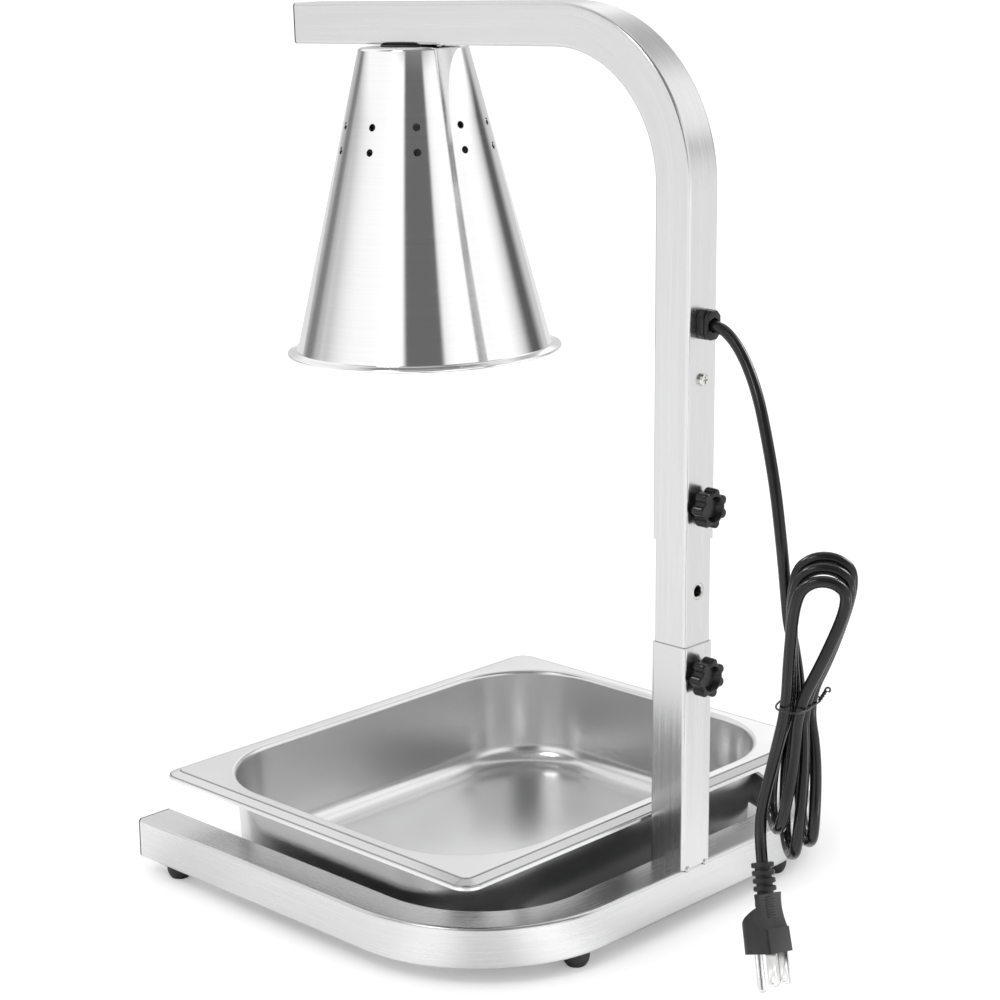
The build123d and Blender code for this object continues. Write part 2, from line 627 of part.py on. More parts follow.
# Lampholder and its contacts
with BuildPart() as lampholder:
    turn(
        [
            (NIPPLE_RADIUS, -HOLDER_TOP),
            (HOLDER_NECK_RADIUS, -HOLDER_TOP),
            (HOLDER_NECK_RADIUS, -HOLDER_SHOULDER),
            (HOLDER_RADIUS, -HOLDER_SHOULDER - HOLDER_RADIUS + HOLDER_NECK_RADIUS),
            (HOLDER_RADIUS, -HOLDER_END),
            (HOLDER_SOCKET_RADIUS, -HOLDER_END),
            (HOLDER_SOCKET_RADIUS, -HOLDER_WEB_END),
            (HOLDER_WEB_BORE, -HOLDER_WEB_END),
            (HOLDER_WEB_BORE, -HOLDER_CHAMBER_END),
            (HOLDER_CHAMBER_RADIUS, -HOLDER_CHAMBER_END),
            (HOLDER_CHAMBER_RADIUS, -NIPPLE_NUT_TOP),
            (NIPPLE_RADIUS, -NIPPLE_NUT_TOP),
        ],
        HEAD_SIDE,
        HEAD_AXIS,
    )
save(lampholder, "lampholder")

with BuildPart() as screw_shell:
    turn(
        [
            (SHELL_PLATE_BORE, -HOLDER_WEB_END),
            (SHELL_OUTER, -HOLDER_WEB_END),
            (SHELL_OUTER, -SHELL_END),
            (SHELL_INNER, -SHELL_END),
            (SHELL_INNER, -HOLDER_WEB_END - SHELL_PLATE),
            (SHELL_PLATE_BORE, -HOLDER_WEB_END - SHELL_PLATE),
        ],
        HEAD_SIDE,
        HEAD_AXIS,
    )
save(screw_shell, "screw_shell")

with BuildPart() as centre_contact:
    round_bar(head_plane(HOLDER_WEB_END), CONTACT_RADIUS, -CONTACT)
    round_bar(head_plane(HOLDER_WEB_END), HOLDER_WEB_BORE, HOLDER_WEB_END - HOLDER_CHAMBER_END)
save(centre_contact, "centre_contact")

# Reflector bulb: screw cap and blown glass
with BuildPart() as bulb_cap:
    turn(
        [
            (0, -CAP_TIP_TOP),
            (CAP_TIP_RADIUS, -CAP_TIP_TOP),
            (CAP_TIP_RADIUS, -CAP_TIP_END),
            (CAP_RADIUS, -CAP_SHOULDER),
            (CAP_RADIUS, -CAP_COLLAR_TOP),
            (GLASS_NECK_RADIUS, -CAP_COLLAR_TOP),
            (GLASS_NECK_RADIUS, -CAP_END),
            (0, -CAP_END),
        ],
        HEAD_SIDE,
        HEAD_AXIS,
    )
save(bulb_cap, "bulb_cap")

with BuildPart() as bulb_glass:
    with BuildSketch(HEAD_SIDE):
        with BuildLine():
            for inset in (0.0, GLASS_SHEET):
                neck = (GLASS_NECK_RADIUS - inset, -GLASS_NECK_END - inset)
                waist = (GLASS_WAIST_RADIUS - inset, -GLASS_WAIST - inset)
                rim_top = (GLASS_RADIUS - inset, -GLASS_RIM_TOP)
                rim_end = (GLASS_RADIUS - inset, inset - GLASS_RIM_END)
                crown_drop = GLASS_CROWN - GLASS_RIM_END
                crown_radius = (rim_end[0] ** 2 + crown_drop ** 2) / (2 * crown_drop)
                crown_centre = (0, inset - GLASS_CROWN + crown_radius)
                Line((neck[0], -CAP_END), neck)
                ThreePointArc(neck, waist, rim_top)
                Line(rim_top, rim_end)
                CenterArc(crown_centre, crown_radius, -90, degrees(asin(rim_end[0] / crown_radius)))
            Line((0, -GLASS_CROWN), (0, GLASS_SHEET - GLASS_CROWN))
            Line((GLASS_NECK_RADIUS, -CAP_END), (GLASS_NECK_RADIUS - GLASS_SHEET, -CAP_END))
        make_face()
    revolve(axis=HEAD_AXIS)
save(bulb_glass, "bulb_glass")


def pan_outline(set_in):
    """Draws the pan's outline, set in from its outer edge."""
    RectangleRounded(PAN_LENGTH - 2 * set_in, PAN_WIDTH - 2 * set_in, PAN_CORNER - set_in)


def in_pan_mouth(edge):
    """Says whether an edge of the pan lies at its mouth, and not on its rim."""
    box = edge.bounding_box()
    length_reach = PAN_OPEN_LENGTH / 2 + 2 * PAN_SHEET
    width_reach = PAN_OPEN_WIDTH / 2 + 2 * PAN_SHEET
    lengthwise = max(box.max.X, -box.min.X)
    widthwise = max(box.max.Y - PAN_Y, PAN_Y - box.min.Y)
    return lengthwise < length_reach and widthwise < width_reach


# Pan: a drafted tub of sheet steel with a flat flange, a sloping lip and a turned-down edge
with BuildPart() as pan_rim:
    for inside, mode in ((0.0, Mode.ADD), (PAN_SHEET, Mode.SUBTRACT)):
        with BuildSketch(Plane(origin=(0, PAN_Y, PAN_DEPTH - inside))) as flange:
            pan_outline(PAN_LIP)
        with BuildSketch(Plane(origin=(0, PAN_Y, PAN_DEPTH - PAN_LIP_FALL - inside))) as lip_end:
            pan_outline(inside)
        loft([flange.sketch, lip_end.sketch], ruled=True, mode=mode)
        extrude(lip_end.sketch, amount=-PAN_SKIRT, mode=mode)

with BuildPart() as pan_hollow:
    with BuildSketch(Plane(origin=(0, PAN_Y, PAN_DEPTH))):
        RectangleRounded(PAN_OPEN_LENGTH, PAN_OPEN_WIDTH, PAN_OPEN_CORNER)
    extrude(amount=PAN_SHEET - PAN_DEPTH, taper=PAN_DRAFT)
    fillet(pan_hollow.faces().sort_by(Axis.Z)[0].edges(), PAN_BOTTOM_ROUND - PAN_SHEET)

with BuildPart() as food_pan:
    with BuildSketch(Plane(origin=(0, PAN_Y, PAN_DEPTH))):
        RectangleRounded(
            PAN_OPEN_LENGTH + 2 * PAN_SHEET, PAN_OPEN_WIDTH + 2 * PAN_SHEET, PAN_OPEN_CORNER + PAN_SHEET
        )
    extrude(amount=-PAN_DEPTH, taper=PAN_DRAFT)
    fillet(food_pan.faces().sort_by(Axis.Z)[0].edges(), PAN_BOTTOM_ROUND)
    add(pan_rim.part)
    under_flange = food_pan.edges().filter_by(in_pan_mouth).group_by(Axis.Z)[-1]
    fillet(under_flange, PAN_MOUTH_ROUND - PAN_SHEET)
    add(pan_hollow.part, mode=Mode.SUBTRACT)
    mouth = food_pan.edges().filter_by(in_pan_mouth).group_by(Axis.Z)[-1]
    fillet(mouth, PAN_MOUTH_ROUND)
save(food_pan, "food_pan")


# Cord: free lead from the gland to the hank, then the hank with its tail down to the plug


def hank_place(across, toward, height):
    """Gives the place at a distance across, toward and above the hank's waist."""
    return HANK_WAIST + HANK_ACROSS * across + HANK_TOWARD * toward + UP * height


def hank_turn(height):
    """Gives how far the loops have turned at a height: a little at the top, edge on at the bottom."""
    end, end_at = (HANK_TURN_TOP, HANK_TURN_TOP_AT) if height > 0 else (HANK_TURN_LOW, HANK_TURN_LOW_AT)
    return HANK_TURN_WAIST + (end - HANK_TURN_WAIST) * min(abs(height) / end_at, 1.0)


def strand(side, layer, height, half):
    """Places one strand of the hank by its side and distance from the middle, its layer and its height."""
    turned = hank_turn(height)
    stacked = layer * HANK_PITCH * (1 + HANK_FAN * max(-height, 0.0))
    lean = HANK_LEAN * min(height, HANK_LEAN_END) if height > 0 else HANK_TRAIL * height
    across = side * half * cos(turned) - stacked * sin(turned) + lean
    toward = side * half * sin(turned) + stacked * cos(turned)
    return hank_place(across, toward, height)


def left_run(number, top_half):
    """Lists the points of a left run, which climbs by one layer on its way down."""
    low_half = HANK_DRAW_DOWN_SHARE * HANK_LOW_HALF
    drawn_in = (
        (HANK_DRAW_UP, HANK_DRAW_UP_SHARE * top_half),
        (0.0, HANK_WAIST_HALF),
        (HANK_DRAW_DOWN, low_half),
    )
    points = []
    for height, half in drawn_in:
        layer = number - 2 + (HANK_CLIMB_TOP - height) / HANK_CLIMB_SPAN
        points.append(strand(-1, layer, height, half))
    return points


def half_turn(layer, first_side, height, half):
    """Lists the four corners of a half turn, whose arcs touch a half circle."""
    inward = half * (1 - OCTAGON)
    shoulder = height - inward if height > 0 else height + inward
    sides = (first_side, first_side * OCTAGON, -first_side * OCTAGON, -first_side)
    heights = (shoulder, height, height, shoulder)
    return [strand(side, layer, level, half) for side, level in zip(sides, heights)]


hank_points = [strand(-1, layer, height, half) for height, half, layer in HANK_START_HEIGHTS]
top_half = HANK_LOOPS[0][0]
for number, (half, top, drop) in enumerate(HANK_LOOPS):
    layer = number - 1
    hank_points += left_run(number, top_half)
    hank_points += half_turn(layer, -1, -drop, HANK_LOW_HALF)
    hank_points.append(strand(1, layer, HANK_DRAW_DOWN, HANK_DRAW_DOWN_SHARE * HANK_LOW_HALF))
    hank_points.append(strand(1, layer, 0.0, HANK_WAIST_HALF))
    hank_points.append(strand(1, layer, HANK_DRAW_UP, HANK_DRAW_UP_SHARE * half))
    hank_points += half_turn(layer, 1, top, half)
    top_half = half
hank_points += left_run(len(HANK_LOOPS), top_half)[:2]
hank_points += [hank_place(*place) for place in HANK_TAIL]
hank_points += [PLUG_HEAD + PLUG_UP * LEAD_LAST_RUN, PLUG_HEAD]

HANK_START = hank_points[0]
LEAD_ENTRY = HANK_START + (HANK_START - hank_points[1]).normalized() * LEAD_LAST_RUN
lead_points = [CORD_START]
lead_points += [Vector(x, POST_Y + out, height) for x, out, height in LEAD_ROUTE]
lead_points += [LEAD_ENTRY, HANK_START]

with BuildPart() as cord_lead:
    with BuildLine() as lead_path:
        cord_path(lead_points, "cord_lead")
    round_cord(lead_path.wire(), CORD / 2)
print_cord(cord_lead, lead_path.wire(), CORD / 2, "cord_lead")
save(cord_lead, "cord_lead")

with BuildPart() as cord_hank:
    with BuildLine() as hank_path:
        cord_path(hank_points, "cord_hank")
    round_cord(hank_path.wire(), CORD / 2)
print_cord(cord_hank, hank_path.wire(), CORD / 2, "cord_hank")
save(cord_hank, "cord_hank")

# Least gap of the hank to itself, on points a millimetre apart along it
hank_wire = hank_path.wire()
hank_steps = int(hank_wire.length)
hank_samples = [hank_wire @ (step / hank_steps) for step in range(hank_steps + 1)]
least_gap = min(
    (hank_samples[low] - hank_samples[high]).length - CORD
    for low in range(hank_steps + 1)
    for high in range(low + int(HANK_NEAR_SPAN), hank_steps + 1)
)
print(f"cord_hank: least gap to itself {least_gap:.2f}")

# Tie: a band round the hank's waist, with the twisted ends standing off it
tie_side = HANK_ACROSS * cos(HANK_TURN_WAIST) + HANK_TOWARD * sin(HANK_TURN_WAIST)
tie_up = UP * cos(TIE_TILT) + HANK_ACROSS * sin(TIE_TILT)
tie_stack = tie_up.cross(tie_side).normalized()
tie_reach = len(HANK_LOOPS) * HANK_PITCH
tie_inner = 2 * (HANK_WAIST_HALF + CORD / 2 + TIE_GAP)
with BuildPart() as twist_tie:
    with BuildSketch(Plane(origin=HANK_WAIST - tie_up * (TIE_HEIGHT / 2), x_dir=tie_stack, z_dir=tie_up)):
        SlotCenterToCenter(tie_reach, tie_inner + 2 * TIE_BAND)
        SlotCenterToCenter(tie_reach, tie_inner, mode=Mode.SUBTRACT)
    extrude(amount=TIE_HEIGHT)
    with BuildLine() as tie_tail:
        cord_path([hank_place(*place) for place in TIE_TAIL], "twist_tie tail")
    round_cord(tie_tail.wire(), TIE_TAIL_RADIUS)
save(twist_tie, "twist_tie")

# Mains plug: a block, round on the ground pin's side and flat on the blades' side, cut to its side outline,
# which has an arched back, a grip plate with a thumb hollow and a ledge. A ribbed relief runs into the grip
with BuildPart() as plug_body:
    with BuildSketch(plug_plane(PLUG_FACE_DOWN)):
        with Locations((GROUND_ACROSS, 0)):
            Circle(GROUND_LOBE)
        with Locations((PLUG_FLAT - PLUG_CORNER, 0)):
            SlotOverall(PLUG_WIDTH, 2 * PLUG_CORNER, rotation=90)
        make_hull()
    extrude(amount=PLUG_FACE_DOWN - PLUG_GRIP_DOWN)
    plug_edge = Plane(origin=PLUG_HEAD, x_dir=PLUG_SIDE, z_dir=plug_plane(0).y_dir * -1)
    plug_back = GROUND_ACROSS - GROUND_LOBE - PLUG_CORNER
    grip_top = (PLUG_GRIP_FLAT, -PLUG_GRIP_DOWN)
    ledge = (PLUG_LEDGE_FLAT, -PLUG_LEDGE_DOWN)
    arch_start = (-PLUG_GRIP_BACK, -PLUG_ARCH_DOWN)
    arch_end = (plug_back, -PLUG_ARCH_END)
    with BuildSketch(plug_edge):
        with BuildLine():
            Polyline(
                arch_end,
                (plug_back, -PLUG_FACE_DOWN),
                (PLUG_FLAT, -PLUG_FACE_DOWN),
                (PLUG_LEDGE_EDGE, -PLUG_LEDGE_DOWN),
                ledge,
            )
            ThreePointArc(ledge, (PLUG_GRIP_HOLLOW[0], -PLUG_GRIP_HOLLOW[1]), grip_top)
            Polyline(grip_top, (-PLUG_GRIP_BACK, -PLUG_GRIP_DOWN), arch_start)
            ThreePointArc(arch_start, (PLUG_ARCH_MIDDLE[0], -PLUG_ARCH_MIDDLE[1]), arch_end)
        make_face()
    extrude(amount=PLUG_WIDTH, both=True, mode=Mode.INTERSECT)
    rib = RELIEF_LENGTH / RELIEF_RIBS
    relief = [(0, 0)]
    for number in range(RELIEF_RIBS):
        relief += [
            (RELIEF_RADIUS, -rib * number),
            (RELIEF_RADIUS, -rib * (number + RELIEF_RIB_SHARE)),
            (RELIEF_CORE, -rib * (number + RELIEF_RIB_SHARE)),
            (RELIEF_CORE, -rib * (number + 1)),
        ]
    relief.append((0, -RELIEF_LENGTH))
    turn(relief, plug_edge, Axis(PLUG_HEAD, PLUG_UP))
save(plug_body, "plug_body")

with BuildPart() as plug_blades:
    with BuildSketch(plug_plane(PLUG_FACE_DOWN, BLADE_ACROSS)):
        with GridLocations(0, BLADE_SPACING, 1, 2):
            Rectangle(BLADE[0], BLADE[1])
    extrude(amount=-BLADE[2])
    hole_plane = plug_plane(PLUG_FACE_DOWN + BLADE[2] - BLADE_HOLE_FROM_TIP, BLADE_ACROSS)
    with BuildSketch(Plane(origin=hole_plane.origin, x_dir=hole_plane.x_dir, z_dir=hole_plane.y_dir)):
        Circle(BLADE_HOLE)
    extrude(amount=BLADE_SPACING, both=True, mode=Mode.SUBTRACT)
save(plug_blades, "plug_blades")

with BuildPart() as plug_ground_pin:
    round_bar(plug_plane(PLUG_FACE_DOWN, GROUND_ACROSS), GROUND_RADIUS, -GROUND_LENGTH)
    pin_tip = plug_ground_pin.faces().sort_by(Axis.Z)[0]
    fillet(pin_tip.edges(), GROUND_TIP_ROUND)
save(plug_ground_pin, "plug_ground_pin")
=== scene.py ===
"""Looks of a food heat lamp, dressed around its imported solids.

Lengths are in metres and +Z is up. The stand's open front faces -Y and the column stands at its
+Y end.
"""

import json
import logging
import math
from collections.abc import Callable, Iterator, Sequence
from contextlib import contextmanager
from dataclasses import dataclass
from enum import Enum

import bmesh
import bpy
from bpy.types import Material, Node, NodeSocket, NodeTree, Object, World
from mathutils import Matrix, Quaternion, Vector

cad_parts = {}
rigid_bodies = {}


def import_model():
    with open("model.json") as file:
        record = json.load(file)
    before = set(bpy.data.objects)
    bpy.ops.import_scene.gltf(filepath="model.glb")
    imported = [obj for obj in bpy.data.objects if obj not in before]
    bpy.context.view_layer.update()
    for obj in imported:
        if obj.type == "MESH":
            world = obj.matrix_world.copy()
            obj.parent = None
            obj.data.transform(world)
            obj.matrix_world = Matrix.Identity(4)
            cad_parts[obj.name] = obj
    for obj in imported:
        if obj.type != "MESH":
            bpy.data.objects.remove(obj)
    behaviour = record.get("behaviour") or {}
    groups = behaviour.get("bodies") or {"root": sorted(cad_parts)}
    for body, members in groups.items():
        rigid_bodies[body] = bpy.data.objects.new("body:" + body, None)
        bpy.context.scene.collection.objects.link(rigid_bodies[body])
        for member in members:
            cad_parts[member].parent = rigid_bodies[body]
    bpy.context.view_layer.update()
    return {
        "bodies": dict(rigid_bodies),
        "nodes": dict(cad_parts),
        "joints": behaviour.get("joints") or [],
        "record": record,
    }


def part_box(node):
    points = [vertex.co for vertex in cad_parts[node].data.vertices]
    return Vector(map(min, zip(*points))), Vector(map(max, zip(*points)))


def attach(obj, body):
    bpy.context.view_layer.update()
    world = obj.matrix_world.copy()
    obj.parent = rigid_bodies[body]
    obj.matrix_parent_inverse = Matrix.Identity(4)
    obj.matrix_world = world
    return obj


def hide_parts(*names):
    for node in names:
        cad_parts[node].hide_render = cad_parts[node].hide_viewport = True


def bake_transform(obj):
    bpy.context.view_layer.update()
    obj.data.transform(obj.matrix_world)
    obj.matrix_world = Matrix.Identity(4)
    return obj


LOG = logging.getLogger("heat_lamp")
MM = 0.001
NEAR = 0.01 * MM
SMOOTH_BELOW = math.radians(32.0)
SHARP_ABOVE = math.radians(35.0)
CURVE_ORDER = 3

Pair = tuple[float, float]
Place = tuple[float, float, float]
Colour = tuple[float, float, float]
Feed = NodeSocket | float | Sequence[float]
Test = Callable[[Vector], bool]


# Shader building

class Wiring:
    """Adds nodes to one node tree and joins them."""

    MIX_SHARE, MIX_FIRST, MIX_SECOND, MIX_RESULT = 0, 6, 7, 2

    def __init__(self, tree: NodeTree) -> None:
        """Keeps the tree that the nodes go into."""
        self.tree = tree

    def add(
        self, kind: str, feeds: dict[str | int, Feed] | None = None, **settings: object
    ) -> Node:
        """Adds a node, sets it up and feeds its inputs.

        Args:
            kind: the kind of node, as Blender names it.
            feeds: a value or a socket for each input, by its name or number.
            **settings: properties of the node itself.

        Returns:
            The new node.
        """
        node = self.tree.nodes.new(kind)
        for name, value in settings.items():
            setattr(node, name, value)
        for key, value in (feeds or {}).items():
            self.feed(node.inputs[key], value)
        return node

    def feed(self, entry: NodeSocket, value: Feed) -> None:
        """Links a socket to an input, or sets the input to a plain value.

        Args:
            entry: the input.
            value: the socket or the value.
        """
        if isinstance(value, NodeSocket):
            self.tree.links.new(value, entry)
        else:
            entry.default_value = value

    def sum(self, operation: str, *values: Feed) -> NodeSocket:
        """Works out one number from others with a Math node."""
        return self.add("ShaderNodeMath", dict(enumerate(values)), operation=operation).outputs[0]

    def hypotenuse(self, *sides: Feed) -> NodeSocket:
        """Gives the distance that two sides at right angles span."""
        squares = [self.sum("POWER", side, 2.0) for side in sides]
        return self.sum("SQRT", self.sum("ADD", *squares))

    def vector(self, x: Feed, y: Feed, z: Feed) -> NodeSocket:
        """Puts three numbers together as a vector."""
        return self.add("ShaderNodeCombineXYZ", {"X": x, "Y": y, "Z": z}).outputs[0]

    def split(self, vector: Feed) -> tuple[NodeSocket, ...]:
        """Takes a vector apart into its three numbers."""
        return tuple(self.add("ShaderNodeSeparateXYZ", {0: vector}).outputs)

    def scaled(self, vector: Feed, scale: Feed) -> NodeSocket:
        """Multiplies a vector or a colour by a number."""
        feeds = {0: vector, "Scale": scale}
        return self.add("ShaderNodeVectorMath", feeds, operation="SCALE").outputs[0]

    def spread(
        self, value: Feed, low: float, high: float, start: float = 0.0, end: float = 1.0
    ) -> NodeSocket:
        """Maps a number that runs from start to end onto low to high.

        Args:
            value: the number.
            low: what start becomes.
            high: what end becomes.
            start: the number's lower end.
            end: the number's upper end.

        Returns:
            The mapped number.
        """
        feeds = {"Value": value, "From Min": start, "From Max": end, "To Min": low, "To Max": high}
        return self.add("ShaderNodeMapRange", feeds).outputs[0]

    def weigh(self, first: Feed, second: Feed, share: float) -> NodeSocket:
        """Adds a share of the second number to what is left of the first."""
        rest = self.sum("MULTIPLY", first, 1.0 - share)
        return self.sum("ADD", rest, self.sum("MULTIPLY", second, share))

    def tint(self, share: Feed, first: Feed, second: Feed) -> NodeSocket:
        """Mixes two colours by a share."""
        feeds = {self.MIX_SHARE: share, self.MIX_FIRST: first, self.MIX_SECOND: second}
        mix = self.add("ShaderNodeMix", feeds, data_type="RGBA")
        return mix.outputs[self.MIX_RESULT]

    def noise(
        self, vector: Feed, scale: Feed, detail: float, distortion: float = 0.0
    ) -> NodeSocket:
        """Gives a soft noise from 0 to 1."""
        feeds = {"Vector": vector, "Scale": scale, "Detail": detail, "Distortion": distortion}
        return self.add("ShaderNodeTexNoise", feeds).outputs[0]

    def millimetres(self) -> NodeSocket:
        """Gives the place on the object in millimetres."""
        return self.scaled(self.add("ShaderNodeTexCoord").outputs["Object"], 1 / MM)

    def effect(self, group: NodeTree, vector: Feed, size: float) -> NodeSocket:
        """Places a shared effect with its own size and gives its value."""
        return self.add("ShaderNodeGroup", {0: vector, 1: size}, node_tree=group).outputs[0]


def bare_wiring(owner: Material | World) -> Wiring:
    """Gives a material or a world an empty node tree.

    Args:
        owner: the material or the world.

    Returns:
        The wiring of its tree.
    """
    owner.use_nodes = True
    owner.node_tree.nodes.clear()
    return Wiring(owner.node_tree)


def grey(level: float) -> tuple[float, ...]:
    """Gives a neutral colour."""
    return level, level, level, 1.0


class Effects:
    """Shared surface effects, each a node group fed with a vector and a size in millimetres."""

    LINE_STRETCH = 0.012
    LINE_DETAIL = 3.0
    LINE_RANGE = (0.32, 0.68)
    COARSE_SCALE = 0.22
    COARSE_DETAIL = 2.0
    COARSE_SHARE = 0.4
    PATCH_DETAIL = 4.0
    PATCH_WARP = 0.6
    PATCH_RANGE = (0.38, 0.66)
    GRAIN_DETAIL = 2.0

    def __init__(self) -> None:
        """Builds the effects once."""
        self.brushing = self.build("brushing", "Pitch", self.draw_brushing)
        self.smears = self.build("smears", "Size", self.draw_smears)
        self.grain = self.build("mould_grain", "Grain", self.draw_grain)

    def build(
        self, name: str, size_name: str, draw: Callable[[Wiring, Feed, Feed], NodeSocket]
    ) -> NodeTree:
        """Builds a shared effect whose value runs from 0 to 1.

        Args:
            name: the effect's name.
            size_name: the name of its size input, in millimetres.
            draw: makes the value from the wiring, the vector and the size.

        Returns:
            The node group.
        """
        tree = bpy.data.node_groups.new(name, "ShaderNodeTree")
        tree.interface.new_socket("Vector", in_out="INPUT", socket_type="NodeSocketVector")
        tree.interface.new_socket(size_name, in_out="INPUT", socket_type="NodeSocketFloat")
        tree.interface.new_socket("Value", in_out="OUTPUT", socket_type="NodeSocketFloat")
        wiring = Wiring(tree)
        given = wiring.add("NodeGroupInput").outputs
        wiring.add("NodeGroupOutput", {0: draw(wiring, given[0], given[1])})
        return tree

    def draw_brushing(self, wiring: Wiring, vector: Feed, pitch: Feed) -> NodeSocket:
        """Draws fine lines along the vector's third number, a pitch apart.

        Args:
            wiring: the group's wiring.
            vector: two distances across the lines and one along them.
            pitch: the usual distance between two lines.

        Returns:
            The lines.
        """
        stretch = {0: vector, 1: (1.0, 1.0, self.LINE_STRETCH)}
        drawn = wiring.add("ShaderNodeVectorMath", stretch, operation="MULTIPLY").outputs[0]
        scale = wiring.sum("DIVIDE", 1.0, pitch)
        fine = wiring.noise(drawn, scale, self.LINE_DETAIL)
        wide = wiring.sum("MULTIPLY", scale, self.COARSE_SCALE)
        coarse = wiring.noise(drawn, wide, self.COARSE_DETAIL)
        lines = wiring.weigh(fine, coarse, self.COARSE_SHARE)
        return wiring.spread(lines, 0.0, 1.0, *self.LINE_RANGE)

    def draw_smears(self, wiring: Wiring, vector: Feed, size: Feed) -> NodeSocket:
        """Draws soft patches of wiping and handling, as wide as the size.

        Args:
            wiring: the group's wiring.
            vector: the place on the object.
            size: the usual width of a patch.

        Returns:
            The patches.
        """
        scale = wiring.sum("DIVIDE", 1.0, size)
        patches = wiring.noise(vector, scale, self.PATCH_DETAIL, self.PATCH_WARP)
        return wiring.spread(patches, 0.0, 1.0, *self.PATCH_RANGE)

    def draw_grain(self, wiring: Wiring, vector: Feed, grain: Feed) -> NodeSocket:
        """Draws the fine grain that a mould or a press leaves."""
        return wiring.noise(vector, wiring.sum("DIVIDE", 1.0, grain), self.GRAIN_DETAIL)


# Finishes

class Course(Enum):
    """Plane in which a bent tube runs."""

    STAND = "stand"
    COLUMN = "column"


@dataclass(frozen=True)
class TubeBend:
    """Corner of a bent tube: its plane, its bend's centre there, and its second leg's fall."""

    course: Course
    centre: Pair
    fall: float = 0.0


@dataclass(frozen=True)
class Finish:
    """Surface with two tones, a range of roughness and a faint relief; bare metal if not told."""

    name: str
    dark: Colour
    light: Colour
    rough: Pair
    bump: float = 0.03
    smear: float = 25.0
    smear_share: float = 0.5

    def pattern(self, wiring: Wiring, effects: Effects) -> tuple[Feed, Feed, Feed]:
        """Gives how light, how rough and how high the surface is, each from 0 to 1."""
        raise NotImplementedError

    def set_shine(self, shader: Node) -> None:
        """Makes the surface a metal."""
        shader.inputs["Metallic"].default_value = 1.0

    def material(self, effects: Effects) -> Material:
        """Builds the material.

        Args:
            effects: the shared effects.

        Returns:
            The material.
        """
        material = bpy.data.materials.new(self.name)
        material.use_nodes = True
        wiring = Wiring(material.node_tree)
        shader = wiring.tree.nodes["Principled BSDF"]
        tone, wear, relief = self.pattern(wiring, effects)
        feeds = {"Strength": self.bump, "Distance": MM, "Height": relief}
        bump = wiring.add("ShaderNodeBump", feeds).outputs[0]
        colour = wiring.tint(tone, (*self.dark, 1.0), (*self.light, 1.0))
        wiring.feed(shader.inputs["Base Color"], colour)
        wiring.feed(shader.inputs["Roughness"], wiring.spread(wear, *self.rough))
        wiring.feed(shader.inputs["Normal"], bump)
        self.set_shine(shader)
        return material


@dataclass(frozen=True)
class LinedSteel(Finish):
    """Steel with fine lines in one direction."""

    smear_share: float = 0.25
    pitch: float = 0.5

    def lay(self, wiring: Wiring) -> NodeSocket:
        """Gives two distances across the lines and one along them, in millimetres."""
        raise NotImplementedError

    def pattern(self, wiring: Wiring, effects: Effects) -> tuple[Feed, Feed, Feed]:
        """Gives the lines as tone and relief, and their wear.

        Args:
            wiring: the material's wiring.
            effects: the shared effects.

        Returns:
            The tone, the wear and the relief.
        """
        lines = wiring.effect(effects.brushing, self.lay(wiring), self.pitch)
        smears = wiring.effect(effects.smears, wiring.millimetres(), self.smear)
        return lines, wiring.weigh(lines, smears, self.smear_share), lines


@dataclass(frozen=True)
class BrushedTube(LinedSteel):
    """Satin steel tube, brushed along its length and round its bend."""

    bend: TubeBend = TubeBend(Course.STAND, (0.0, 0.0))

    def lay(self, wiring: Wiring) -> NodeSocket:
        """Gives two distances across the tube and one along it, in millimetres.

        Args:
            wiring: the material's wiring.

        Returns:
            The three distances, as a vector.
        """
        x, y, z = wiring.split(wiring.millimetres())
        if self.bend.course is Course.STAND:
            first, second, side = wiring.sum("ABSOLUTE", x), y, z
        else:
            fallen = wiring.sum("MULTIPLY", y, self.bend.fall)
            first, second, side = y, wiring.sum("SUBTRACT", z, fallen), x
        past = [
            wiring.sum("MAXIMUM", wiring.sum("SUBTRACT", leg, centre), 0.0)
            for leg, centre in zip((first, second), self.bend.centre)
        ]
        return wiring.vector(wiring.hypotenuse(*past), side, wiring.sum("SUBTRACT", second, first))


@dataclass(frozen=True)
class TurnedSteel(LinedSteel):
    """Polished sheet steel with fine lines turned round its axis."""

    pitch: float = 0.7
    axis: Place = (0.0, 0.0, 1.0)

    def lay(self, wiring: Wiring) -> NodeSocket:
        """Gives the height along the axis and a distance round it, in millimetres.

        Args:
            wiring: the material's wiring.

        Returns:
            The two distances, as a vector.
        """
        place = wiring.millimetres()
        feeds = {0: place, 1: self.axis}
        along = wiring.add("ShaderNodeVectorMath", feeds, operation="DOT_PRODUCT")
        return wiring.vector(along.outputs["Value"], 0.0, wiring.split(place)[0])


@dataclass(frozen=True)
class Grained(Finish):
    """Surface with a fine even grain and faint smears."""

    grain: float = 0.4

    def layers(self, wiring: Wiring, effects: Effects) -> tuple[NodeSocket, ...]:
        """Gives the grain, the smears, and the two together.

        Args:
            wiring: the material's wiring.
            effects: the shared effects.

        Returns:
            The three values, each from 0 to 1.
        """
        place = wiring.millimetres()
        grain = wiring.effect(effects.grain, place, self.grain)
        smears = wiring.effect(effects.smears, place, self.smear)
        return grain, smears, wiring.weigh(grain, smears, self.smear_share)


@dataclass(frozen=True)
class PlainMetal(Grained):
    """Plated metal, darker where it is worn."""

    def pattern(self, wiring: Wiring, effects: Effects) -> tuple[Feed, Feed, Feed]:
        """Gives the wear, its opposite as tone, and the grain as relief."""
        grain, _, worn = self.layers(wiring, effects)
        return wiring.sum("SUBTRACT", 1.0, worn), worn, grain


